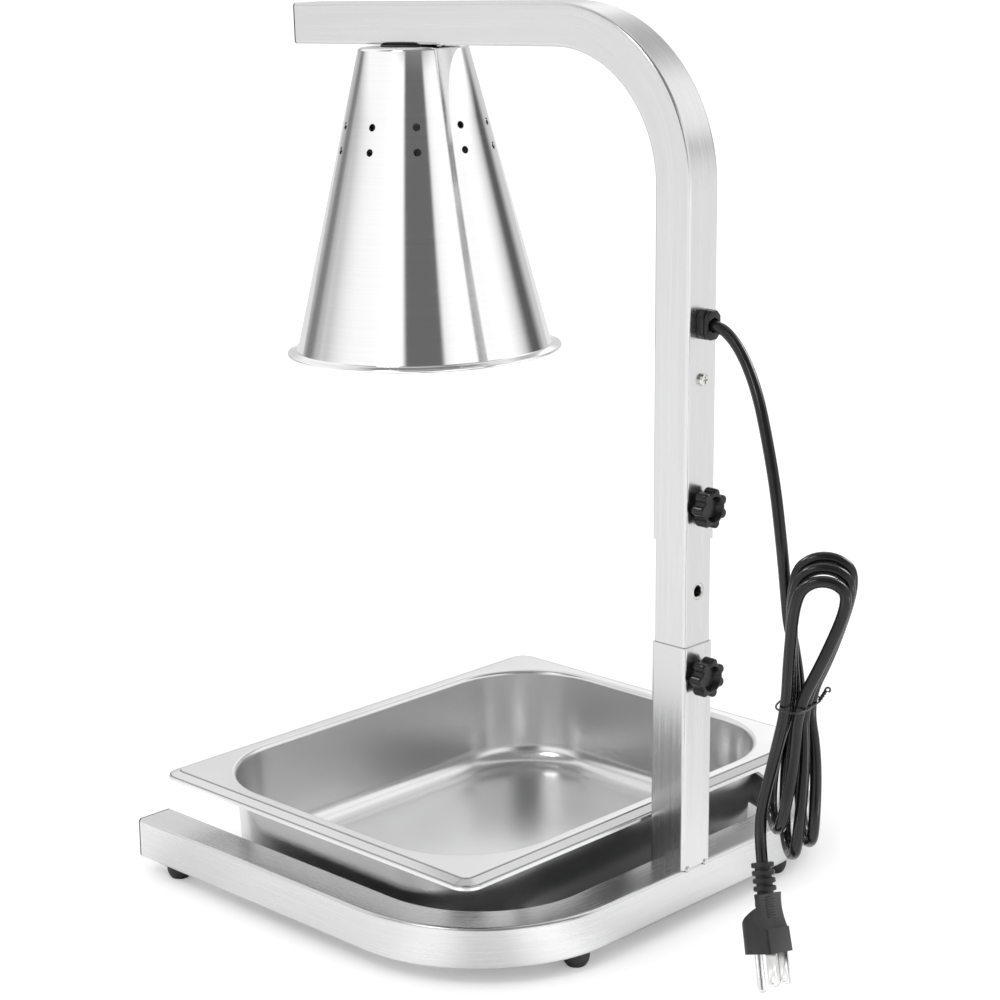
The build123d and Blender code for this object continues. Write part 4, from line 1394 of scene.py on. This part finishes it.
    def sleeve(self, first: int, last: int) -> Object:
        """Builds some rings of the strain relief on their core.

        Args:
            first: the number of the first ring, counted from the cord end.
            last: the number after the last ring's.

        Returns:
            The rings.
        """
        step = self.relief / self.relief_rings
        rim = self.relief_radius - self.relief_edge
        rings = []
        for number in range(first, last):
            top = -number * step
            low = top - step * self.relief_share
            rings += [(self.relief_core, top), (rim, top)]
            rings += [(self.relief_radius, top - self.relief_edge)]
            rings += [(self.relief_radius, low + self.relief_edge)]
            rings += [(rim, low), (self.relief_core, low)]
        rings.append((self.relief_core, -last * step - self.relief_root))
        return ring_stack("relief", rings, self.relief_sides, solid=True)

    def strain_relief(self) -> Object:
        """Builds the sleeve round the cord, whose lower rings stand out only behind the grip.

        Returns:
            The sleeve.
        """
        behind = self.sleeve(self.relief_rings, self.relief_rings + self.rings_behind)
        low = (0.0, -self.room, -self.face)
        cut(behind, block("front", low, (self.room, self.room, 0.0)))
        return join(self.sleeve(0, self.relief_rings), [behind])

    def build_body(self, finish: Material) -> Object:
        """Builds the moulded body.

        Args:
            finish: its material.

        Returns:
            The body, in place.
        """
        body = self.blank()
        self.shape_sides(body)
        soften(body, self.edge, self.edge_steps)
        join(body, [*self.grip_ribs(), self.strain_relief()])
        settle(body, self.place, finish)
        return hand_over(body, "slider", "plug_body")

    def build_pin(self, finish: Material) -> Object:
        """Builds the ground pin, folded from sheet with an open seam.

        Args:
            finish: its material.

        Returns:
            The pin, in place.
        """
        root, tip = -self.face + self.pin_root, -self.face - self.pin_length
        rings = [(self.pin_radius, root), (self.pin_radius, tip)]
        pin = ring_stack("ground_pin", rings, self.pin_sides, solid=True)
        round_edges(pin, lambda corner: corner.z < tip + NEAR, self.pin_tip, self.pin_steps)
        low = (-self.slit / 2, -2 * self.pin_radius, tip + self.pin_tip)
        high = (self.slit / 2, -self.slit_floor, -self.face + self.pin_root / 2)
        seam = block("seam", low, high)
        seam.data.transform(Matrix.Rotation(self.slit_turn, 4, "Z"))
        cut(pin, seam)
        settle(pin, self.place @ Matrix.Translation((self.pin_across, 0.0, 0.0)), finish)
        return hand_over(pin, "slider", "plug_ground_pin")

    def blade_at(self, middle: float) -> Object:
        """Builds one flat blade with a round tip and a hole.

        Args:
            middle: how far it stands from the plug's middle.

        Returns:
            The blade.
        """
        wide, thick, long = self.blade
        tip = -self.face - long
        low = (self.blade_across - wide / 2, middle - thick / 2, tip)
        high = (self.blade_across + wide / 2, middle + thick / 2, -self.face + self.pin_root)
        blade = block("contact_blades", low, high)
        for side in (-1, 1):
            round_edges(
                blade,
                lambda corner: corner.z < tip + NEAR and (corner.x - self.blade_across) * side > 0,
                self.blade_round, self.corner_steps,
            )
        spot = Vector((self.blade_across, middle, tip + self.blade_hole_up))
        out = Vector((0.0, wide, 0.0))
        cut(blade, rod("hole", spot - out, spot + out, self.blade_hole, self.hole_sides))
        soften(blade, self.blade_edge, self.fine_steps)
        return blade

    def build_blades(self, finish: Material) -> Object:
        """Builds the two blades.

        Args:
            finish: their material.

        Returns:
            The blades, in place.
        """
        blades = [self.blade_at(side * self.blade_spacing / 2) for side in (-1, 1)]
        pair = join(blades[0], blades[1:])
        settle(pair, self.place, finish)
        return hand_over(pair, "slider", "plug_blades")


@dataclass
class CordGland:
    """Moulded bushing in the back of the upper tube, with a groove and a mouth for the cord."""

    middle: Vector
    half_width: float = 6.1 * MM
    half_height: float = 8.4 * MM
    corner: float = 3.4 * MM
    corner_steps: int = 1
    flange: float = 5.2 * MM
    groove: float = 0.5 * MM
    groove_depth: float = 0.8 * MM
    cap: float = 2.4 * MM
    edge: float = 0.9 * MM
    edge_steps: int = 4
    mouth: float = 4.2 * MM
    mouth_depth: float = 3.4 * MM
    mouth_sides: int = 48

    def collar(self, first: float, last: float, set_in: float = 0.0) -> Object:
        """Builds one collar of the bushing.

        Args:
            first: how far out it starts.
            last: how far out it ends.
            set_in: how much smaller it is all round.

        Returns:
            The collar.
        """
        half = (self.half_width - set_in, self.half_height - set_in)
        piece = block("cord_bushing", (-half[0], first, -half[1]), (half[0], last, half[1]))
        for side in (-1, 1):
            for level in (-1, 1):
                round_edges(
                    piece, lambda corner: corner.x * side > 0 and corner.z * level > 0,
                    self.corner, self.corner_steps,
                )
        return piece

    def build(self, finish: Material) -> Object:
        """Builds the bushing.

        Args:
            finish: its material.

        Returns:
            The bushing, in place.
        """
        out = self.flange + self.groove + self.cap
        bushing = self.collar(0.0, self.flange)
        cap = self.collar(self.flange + self.groove, out)
        for piece in (bushing, cap):
            soften(piece, self.edge, self.edge_steps)
        neck = self.collar(self.flange / 2, out - self.cap / 2, self.groove_depth)
        floor = Vector((0.0, out - self.mouth_depth, 0.0))
        past = floor + Vector((0.0, 2 * out, 0.0))
        for piece in (bushing, cap, neck):
            cut(piece, rod("mouth", floor, past, self.mouth, self.mouth_sides))
        join(bushing, [cap, neck])
        settle(bushing, Matrix.Translation(self.middle), finish)
        return hand_over(bushing, "lamp_head", "cord_gland")


@dataclass
class WireTie:
    """Covered wire tied round the hank's waist, with its two ends twisted together."""

    cord: MainsCord
    radius: float = 0.55 * MM
    long_half: float = 19.0 * MM
    short_half: float = 8.7 * MM
    squareness: float = 3.0
    turn: float = math.radians(27.0)
    tilt: float = math.radians(5.0)
    twist_at: float = math.radians(63.0)
    loop_points: int = 28
    tail_end: Place = (16.0 * MM, -9.0 * MM, 3.6 * MM)
    twists: float = 2.0
    twist_radius: float = 0.6 * MM
    twist_points: int = 20
    curl_radius: float = 1.4 * MM
    curl: float = math.radians(250.0)
    curl_points: int = 6
    rings: int = 5
    sides: int = 3

    def directions(self) -> tuple[Vector, Vector]:
        """Gives the loop's long and short directions.

        Returns:
            The two directions.
        """
        cord = self.cord
        side = cord.across * math.cos(self.turn) + cord.toward * math.sin(self.turn)
        up = cord.up * math.cos(self.tilt) + cord.across * math.sin(self.tilt)
        long = up.cross(side).normalized()
        return long, long.cross(up)

    def loop(self) -> list[Vector]:
        """Lists the points of the loop, which starts and ends at the twist.

        Returns:
            The points.
        """
        long, short = self.directions()
        points = []
        for number in range(self.loop_points + 1):
            angle = self.twist_at + number * math.tau / self.loop_points
            shares = (math.cos(angle), math.sin(angle))
            out = [math.copysign(abs(one) ** (2 / self.squareness), one) for one in shares]
            along = self.cord.middle + long * self.long_half * out[0]
            points.append(along + short * self.short_half * out[1])
        return points

    def strand(self, root: Vector, phase: float) -> list[Vector]:
        """Lists the points of one of the two twisted ends, from the loop outward.

        Args:
            root: where the twist leaves the loop.
            phase: where this end starts round the twist.

        Returns:
            Its points.
        """
        end = self.cord.at(*self.tail_end)
        along = (end - root).normalized()
        first = along.cross(self.cord.toward).normalized()
        second = along.cross(first)
        points = []
        for number in range(self.twist_points + 1):
            share = number / self.twist_points
            angle = phase + share * self.twists * math.tau
            offset = first * math.cos(angle) + second * math.sin(angle)
            points.append(root.lerp(end, share) + offset * self.twist_radius)
        return points

    def curled(self, end: Vector) -> list[Vector]:
        """Lists the points of the small open curl at the tip of one end.

        Args:
            end: where the curl starts.

        Returns:
            Its points.
        """
        centre = end + self.cord.across * self.curl_radius
        points = []
        for number in range(1, self.curl_points + 1):
            angle = math.pi - self.curl * number / self.curl_points
            out = self.cord.across * math.cos(angle) + self.cord.up * math.sin(angle)
            points.append(centre + out * self.curl_radius)
        return points

    def build(self, finish: Material) -> Object:
        """Builds the tie as one wire.

        Args:
            finish: its material.

        Returns:
            The tie.
        """
        loop = self.loop()
        first, second = self.strand(loop[0], 0.0), self.strand(loop[0], math.pi)
        points = first[::-1] + loop[1:-1] + second + self.curled(second[-1])
        tie, _ = sweep("wire_tie", points, self.radius, self.rings, self.sides)
        tie.data.materials.append(finish)
        return hand_over(tie, "slider", "twist_tie")


# Studio

@dataclass(frozen=True)
class SoftBox:
    """Square lamp with a white front."""

    name: str
    place: Place
    aim: Place
    side: float
    power: float

    def hang(self) -> Object:
        """Hangs the lamp and turns it to what it lights.

        Returns:
            The lamp.
        """
        lamp = bpy.data.lights.new(self.name, "AREA")
        lamp.energy = self.power
        lamp.size = self.side
        holder = bpy.data.objects.new(self.name, lamp)
        bpy.context.collection.objects.link(holder)
        turn = (Vector(self.aim) - Vector(self.place)).to_track_quat("-Z", "Y")
        holder.matrix_world = Matrix.Translation(self.place) @ turn.to_matrix().to_4x4()
        return holder


@dataclass
class Studio:
    """Camera at the photograph's viewpoint, white floor, and a soft room with dark screens."""

    eye: Place = (1.0310, 0.99327, 0.5957)
    look: Place = (-0.69702, -0.67286, -0.24785)
    roll: float = math.radians(-0.5145)
    lens: float = 87.37
    sensor: float = 36.0
    sight: float = 200.0
    bearing: float = math.radians(43.9)
    floor_size: float = 60.0
    floor_colour: Colour = (0.9, 0.9, 0.9)
    floor_lift: float = 0.24
    floor_gain: float = 1.19
    # Painted shadow: near the middle, under the pan, the floor seen in reflections darkens to this
    # share.
    painted_shadow_gain: float = 0.2
    under: Pair = (0.12, 0.19)
    wall_from: Pair = (0.19, 0.31)
    skirting: float = 1.1
    skirting_to: Pair = (0.11, 0.17)
    skirting_from: Pair = (-0.36, -0.25)
    canopy: float = 0.3
    canopy_from: Pair = (0.52, 0.6)
    canopy_over: Pair = (-0.15, 0.05)
    ceiling: float = 1.0
    ceiling_from: Pair = (0.68, 0.8)

    # Painted reflection tones: the floor's colour as reflections see it, by angle in degrees from
    # the camera.
    FLOOR = (
        (-180, 0.7), (-150, 0.7), (-110, 0.9), (-92, 0.95), (-88, 1.02), (-85, 1.13), (-83, 1.02),
        (-80, 0.88), (-72, 0.92), (-66, 1.0), (-45, 1.02), (-30, 1.05), (-20, 1.2), (-14, 1.14),
        (-6, 0.82), (3, 0.85), (10, 1.2), (18, 1.4), (25, 1.2), (33, 1.08), (60, 1.15), (67, 1.16),
        (77, 1.0), (84, 0.86), (89, 0.85), (92, 0.98), (95, 1.02), (130, 0.8), (155, 0.75),
        (180, 0.7),
    )
    LOW_WALL = (
        (-180, 0.75), (-166, 0.7), (-146, 0.56), (-139, 0.48), (-131, 0.24), (-123, 0.26),
        (-116, 0.53), (-100, 0.68), (-81, 0.87), (-64, 1.03), (-50, 1.15), (-38, 1.2),
        (-20.2, 1.2), (-16.2, 0.16), (17.4, 0.16), (21.4, 1.0), (27, 1.13), (35, 1.2),
        (48.5, 1.18), (68, 1.14), (80, 0.99), (90, 0.81), (99.5, 0.65), (107, 0.52), (113, 0.32),
        (118, 0.13), (127, 0.12), (132, 0.3), (140, 0.65), (152, 0.7), (166, 0.72), (180, 0.75),
    )
    HIGH_WALL = (
        (-180, 1.0), (-171, 1.0), (-140, 1.1), (-81, 1.12), (-64, 1.12), (-50, 1.15), (-38, 1.2),
        (-20.2, 1.2), (-16.2, 0.16), (17.4, 0.16), (21.4, 1.0), (27, 1.13), (35, 1.2),
        (48.5, 1.18), (70, 1.15), (95, 1.3), (117, 1.42), (126, 0.92), (136, 0.64), (146, 0.57),
        (156, 0.7), (164, 0.9), (171, 1.4), (176, 1.4), (180, 1.1),
    )
    TOP_BOX = SoftBox("top_box", (1.5, 0.0, 2.0), (0.0, 0.0, 0.2), 0.6, 7.6)
    GLEAMS = (
        SoftBox("left_gleam", (1.16, -0.18, -0.12), (0.04, 0.25, 0.2), 0.4, 1.6),
        SoftBox("right_gleam", (-0.35, 1.385, -0.05), (0.04, 0.25, 0.22), 0.4, 3.2),
        SoftBox("upper_gleam", (-1.2, 0.41, 1.07), (0.04, 0.25, 0.3), 0.5, 8.0),
        SoftBox("gland_gleam", (0.375, -0.85, 1.4), (0.0, 0.16, 0.35), 0.3, 6.0),
    )

    def turned(self, wiring: Wiring, way: Feed) -> NodeSocket:
        """Turns a direction so that its X axis points at the camera."""
        feeds = {"Vector": way, "Angle": -self.bearing}
        return wiring.add("ShaderNodeVectorRotate", feeds, rotation_type="Z_AXIS").outputs[0]

    def tones(self, wiring: Wiring, way: Feed, stops: Sequence[Pair]) -> NodeSocket:
        """Gives the tone of the room in a direction.

        Args:
            wiring: the material's or the world's wiring.
            way: the direction, turned to the camera.
            stops: tones at angles in degrees, counted from the camera.

        Returns:
            The tone, as a colour.
        """
        x, y, _ = wiring.split(way)
        bearing = wiring.sum("ARCTAN2", y, x)
        round_room = wiring.spread(bearing, 0.0, 1.0, -math.pi, math.pi)
        ramp = wiring.add("ShaderNodeValToRGB", {"Fac": round_room})
        marks = ramp.color_ramp.elements
        while len(marks) < len(stops):
            marks.new(1.0)
        for mark, (angle, level) in zip(marks, stops):
            mark.position = (angle + 180) / 360
            mark.color = grey(level)
        return ramp.outputs[0]

    def place_camera(self) -> None:
        """Sets the camera up."""
        camera = bpy.data.cameras.new("camera")
        camera.lens = self.lens
        camera.sensor_width = self.sensor
        camera.clip_end = self.sight
        holder = bpy.data.objects.new("camera", camera)
        bpy.context.collection.objects.link(holder)
        rolled = Quaternion((0.0, 0.0, 1.0), self.roll)
        turn = Vector(self.look).to_track_quat("-Z", "Y") @ rolled
        holder.matrix_world = Matrix.Translation(self.eye) @ turn.to_matrix().to_4x4()
        bpy.context.scene.camera = holder

    def lay_floor(self) -> None:
        """Lays the pale floor, which looks white where no shadow falls."""
        floor = start("floor", bpy.ops.mesh.primitive_plane_add, size=self.floor_size)
        material = bpy.data.materials.new("floor_paper")
        wiring = bare_wiring(material)
        ray = wiring.add("ShaderNodeLightPath").outputs
        seen = wiring.sum("MAXIMUM", ray["Is Camera Ray"], ray["Is Transmission Ray"])
        lift = wiring.sum("MULTIPLY", seen, self.floor_lift)
        glow = wiring.add("ShaderNodeEmission", {"Strength": lift})
        # Seen in reflections, the floor carries painted tones by direction and painted shadow near
        # the middle.
        way = self.turned(wiring, wiring.add("ShaderNodeNewGeometry").outputs["Position"])
        far = wiring.hypotenuse(*wiring.split(way)[:2])
        gain = wiring.spread(far, self.painted_shadow_gain, self.floor_gain, *self.under)
        mirrored = wiring.scaled(self.tones(wiring, way, self.FLOOR), gain)
        colour = wiring.tint(ray["Is Glossy Ray"], (*self.floor_colour, 1.0), mirrored)
        paper = wiring.add("ShaderNodeBsdfDiffuse", {"Color": colour})
        both = wiring.add("ShaderNodeAddShader", {0: paper.outputs[0], 1: glow.outputs[0]})
        wiring.add("ShaderNodeOutputMaterial", {"Surface": both.outputs[0]})
        floor.data.materials.append(material)

    def light_room(self) -> None:
        """Makes the soft white room with its dark screens, and hangs its lamp."""
        world = bpy.data.worlds.new("room")
        bpy.context.scene.world = world
        wiring = bare_wiring(world)
        way = self.turned(wiring, wiring.add("ShaderNodeTexCoord").outputs["Generated"])
        nearing, _, height = wiring.split(way)
        upper = wiring.spread(height, 0.0, 1.0, *self.wall_from)
        low_wall, high_wall = (
            self.tones(wiring, way, stops) for stops in (self.LOW_WALL, self.HIGH_WALL)
        )
        lit = wiring.tint(upper, low_wall, high_wall)
        low = wiring.spread(height, 1.0, 0.0, *self.skirting_to)
        near = wiring.spread(nearing, 0.0, 1.0, *self.skirting_from)
        lit = wiring.tint(wiring.sum("MULTIPLY", low, near), lit, grey(self.skirting))
        high = wiring.spread(height, 0.0, 1.0, *self.ceiling_from)
        lit = wiring.tint(high, lit, grey(self.ceiling))
        ray = wiring.add("ShaderNodeLightPath").outputs
        raised = wiring.spread(height, 0.0, 1.0, *self.canopy_from)
        near = wiring.spread(nearing, 0.0, 1.0, *self.canopy_over)
        over = wiring.sum("MULTIPLY", wiring.sum("MULTIPLY", raised, near), ray["Is Glossy Ray"])
        lit = wiring.tint(over, lit, grey(self.canopy))
        shown = wiring.tint(ray["Is Camera Ray"], lit, grey(1.0))
        back = wiring.add("ShaderNodeBackground", {"Color": shown, "Strength": 1.0})
        wiring.add("ShaderNodeOutputWorld", {"Surface": back.outputs[0]})
        self.TOP_BOX.hang()
        bpy.context.scene.view_settings.view_transform = "Standard"

    def add_gleams(self, pieces: Sequence[Object]) -> None:
        """Hangs lamps that light only some glossy pieces, past everything else.

        Args:
            pieces: the pieces.
        """
        takers = bpy.data.collections.new("gleam_takers")
        for piece in pieces:
            takers.objects.link(piece)
        for gleam in self.GLEAMS:
            linking = gleam.hang().light_linking
            linking.receiver_collection = takers
            linking.blocker_collection = takers


# Dressing

class HeatLamp:
    """The whole lamp: its finishes, its carried-over solids and its new pieces."""

    BEND = 86.0
    STAND_ARM_X = 164.0
    ELBOW_HEIGHT = 519.3
    DROOP = math.radians(1.75)
    SHADE_REACH = 214.1
    HALF_TUBE = 12.5
    KNOBS = ("lower_knob", "upper_knob")

    def __init__(self, frame: dict) -> None:
        """Keeps the frame, and works out where the column and the pan stand and the shade hangs.

        Args:
            frame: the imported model.
        """
        self.frame = frame
        self.materials: dict[str, Material] = {}
        self.glossy: list[Object] = []
        self.post_y, self.pan_y = (self.middle_y(node) for node in ("lower_post", "food_pan"))
        forward, down = math.cos(self.DROOP), math.sin(self.DROOP)
        reach = self.HALF_TUBE * down - self.SHADE_REACH * forward
        height = self.ELBOW_HEIGHT - self.SHADE_REACH * down - self.HALF_TUBE * forward
        self.shade_head = Vector((0.0, self.post_y + reach * MM, height * MM))

    @staticmethod
    def middle_y(node: str) -> float:
        """Gives the middle of a solid's box along Y."""
        low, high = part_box(node)
        return (low[1] + high[1]) / 2

    def steels(self) -> dict[Finish, list[str]]:
        """Lists the finishes of the tubes, the shade and the pan with the solids they cover.

        Returns:
            The solids that each finish covers.
        """
        post, fall = self.post_y / MM, math.tan(self.DROOP)
        past_bend = post - self.BEND
        bends = {
            "stand_steel": TubeBend(Course.STAND, (self.STAND_ARM_X - self.BEND, past_bend)),
            "column_steel": TubeBend(
                Course.COLUMN, (past_bend, self.ELBOW_HEIGHT - self.BEND - post * fall), fall
            ),
        }
        stand, column = (
            BrushedTube(
                name, (0.585, 0.585, 0.588), (0.665, 0.665, 0.667), (0.21, 0.3),
                bump=0.01, smear=70.0, bend=bend,
            )
            for name, bend in bends.items()
        )
        shade = TurnedSteel(
            "shade_steel", (0.835, 0.835, 0.838), (0.875, 0.875, 0.877), (0.05, 0.11),
            bump=0.004, smear=40.0, axis=(0.0, -math.sin(self.DROOP), math.cos(self.DROOP)),
        )
        pan = PressedSheet(
            "pan_steel", (0.36, 0.36, 0.362), (0.76, 0.76, 0.762), (0.19, 0.27),
            bump=0.015, smear=80.0, smear_share=0.3, middle_y=self.pan_y / MM,
        )
        return {
            stand: ["base_frame"],
            column: ["lower_post", "inner_post", "lamp_arm"],
            shade: ["lamp_shade"],
            pan: ["food_pan"],
        }

    def fittings(self) -> dict[Finish, list[str]]:
        """Lists the finishes of the small metal pieces with the solids that they cover.

        Returns:
            The solids that each finish covers.
        """
        return {
            PlainMetal(
                "weld_steel", (0.5, 0.5, 0.505), (0.68, 0.68, 0.68), (0.3, 0.45),
                bump=0.2, grain=0.6,
            ): ["weld_tacks"],
            PlainMetal(
                "zinc_plate", (0.56, 0.56, 0.55), (0.74, 0.74, 0.72), (0.16, 0.3), smear=6.0
            ): [
                "foot_screws", "threaded_inserts", "lower_knob_stud", "upper_knob_stud",
                "earth_screw", "earth_nut", "lamp_nipple", "nipple_nuts", "locating_screw",
            ],
            PlainMetal(
                "nickel_plate", (0.52, 0.52, 0.515), (0.68, 0.68, 0.675), (0.14, 0.26), smear=6.0
            ): ["plug_blades", "plug_ground_pin", "bulb_cap"],
            PlainMetal(
                "brass", (0.6, 0.45, 0.2), (0.76, 0.6, 0.3), (0.2, 0.4), smear=6.0
            ): ["screw_shell", "centre_contact"],
        }

    def mouldings(self) -> dict[Finish, list[str]]:
        """Lists the finishes of the moulded pieces with the solids that they cover.

        Returns:
            The solids that each finish covers.
        """
        return {
            Moulding(
                "black_plastic", (0.005, 0.005, 0.0055), (0.01, 0.01, 0.0105), (0.16, 0.26),
                bump=0.04, smear=12.0, gloss=0.32,
            ): ["base_end_plugs", "arm_end_plug", *self.KNOBS, "cord_gland"],
            Moulding(
                "cord_pvc", (0.006, 0.006, 0.0065), (0.01, 0.01, 0.0105), (0.16, 0.24),
                bump=0.03, smear=12.0, grain=0.8, gloss=0.34,
            ): ["cord_lead", "cord_hank"],
            Moulding(
                "plug_pvc", (0.016, 0.016, 0.0165), (0.024, 0.024, 0.0245), (0.34, 0.46),
                bump=0.06, smear=12.0, gloss=0.24,
            ): ["plug_body"],
            Moulding(
                "tie_plastic", (0.006, 0.006, 0.0065), (0.012, 0.012, 0.0125), (0.3, 0.42),
                bump=0.05, smear=6.0,
            ): ["twist_tie"],
            Moulding(
                "supply_sleeve", (0.62, 0.6, 0.55), (0.75, 0.73, 0.68), (0.5, 0.7),
                bump=0.08, smear=12.0,
            ): ["supply_cable"],
            Moulding(
                "black_rubber", (0.012, 0.012, 0.012), (0.022, 0.022, 0.022), (0.5, 0.7),
                bump=0.15, smear=12.0,
            ): ["rubber_feet", "shade_gasket"],
            Moulding(
                "ceramic", (0.76, 0.75, 0.71), (0.86, 0.85, 0.82), (0.12, 0.25),
                bump=0.03, smear=12.0,
            ): ["lampholder"],
            Moulding(
                "bulb_glass", (0.82, 0.82, 0.8), (0.9, 0.9, 0.88), (0.3, 0.45),
                bump=0.05, smear=12.0, grain=0.3,
            ): ["bulb_glass"],
        }

    def dress(self) -> None:
        """Gives every carried-over solid its finish."""
        effects = Effects()
        finishes = self.steels() | self.fittings() | self.mouldings()
        for finish, nodes in finishes.items():
            material = finish.material(effects)
            for node in nodes:
                self.materials[node] = material
                piece = self.frame["nodes"][node]
                piece.data.materials.clear()
                piece.data.materials.append(material)
                LOG.info("dressed %s", node)

    def hang_shade(self) -> None:
        """Builds the shade."""
        piece = Shade(self.shade_head, self.DROOP).build(self.materials["lamp_shade"])
        LOG.info("built %s", piece.name)

    def set_pan(self) -> None:
        """Builds the pan."""
        piece = PressedPan(self.pan_y).build(self.materials["food_pan"])
        LOG.info("built %s", piece.name)

    def hang_cord(self) -> None:
        """Builds the cord with its plug, tie and gland."""
        cord = MainsCord(self.post_y)
        line_piece, line = cord.build(self.materials["cord_hank"])
        plug = MainsPlug(cord.plug_place())
        fittings = [
            plug.build_body(self.materials["plug_body"]),
            plug.build_pin(self.materials["plug_ground_pin"]),
            plug.build_blades(self.materials["plug_blades"]),
            WireTie(cord).build(self.materials["twist_tie"]),
        ]
        back = Vector((0.0, self.post_y + self.HALF_TUBE * MM, cord.exit_height))
        bushing = CordGland(back).build(self.materials["cord_gland"])
        built = [line_piece, *fittings, bushing]
        self.glossy = built + [self.frame["nodes"][name] for name in self.KNOBS]
        for piece in built:
            LOG.info("built %s", piece.name)


def main() -> None:
    """Dresses the lamp and sets the studio up round it."""
    logging.basicConfig(level=logging.INFO, format="%(name)s: %(message)s")
    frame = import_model()
    studio = Studio()
    studio.place_camera()
    studio.lay_floor()
    studio.light_room()
    lamp = HeatLamp(frame)
    lamp.dress()
    lamp.hang_shade()
    lamp.set_pan()
    lamp.hang_cord()
    studio.add_gleams(lamp.glossy)


if __name__ == "__main__":
    main()
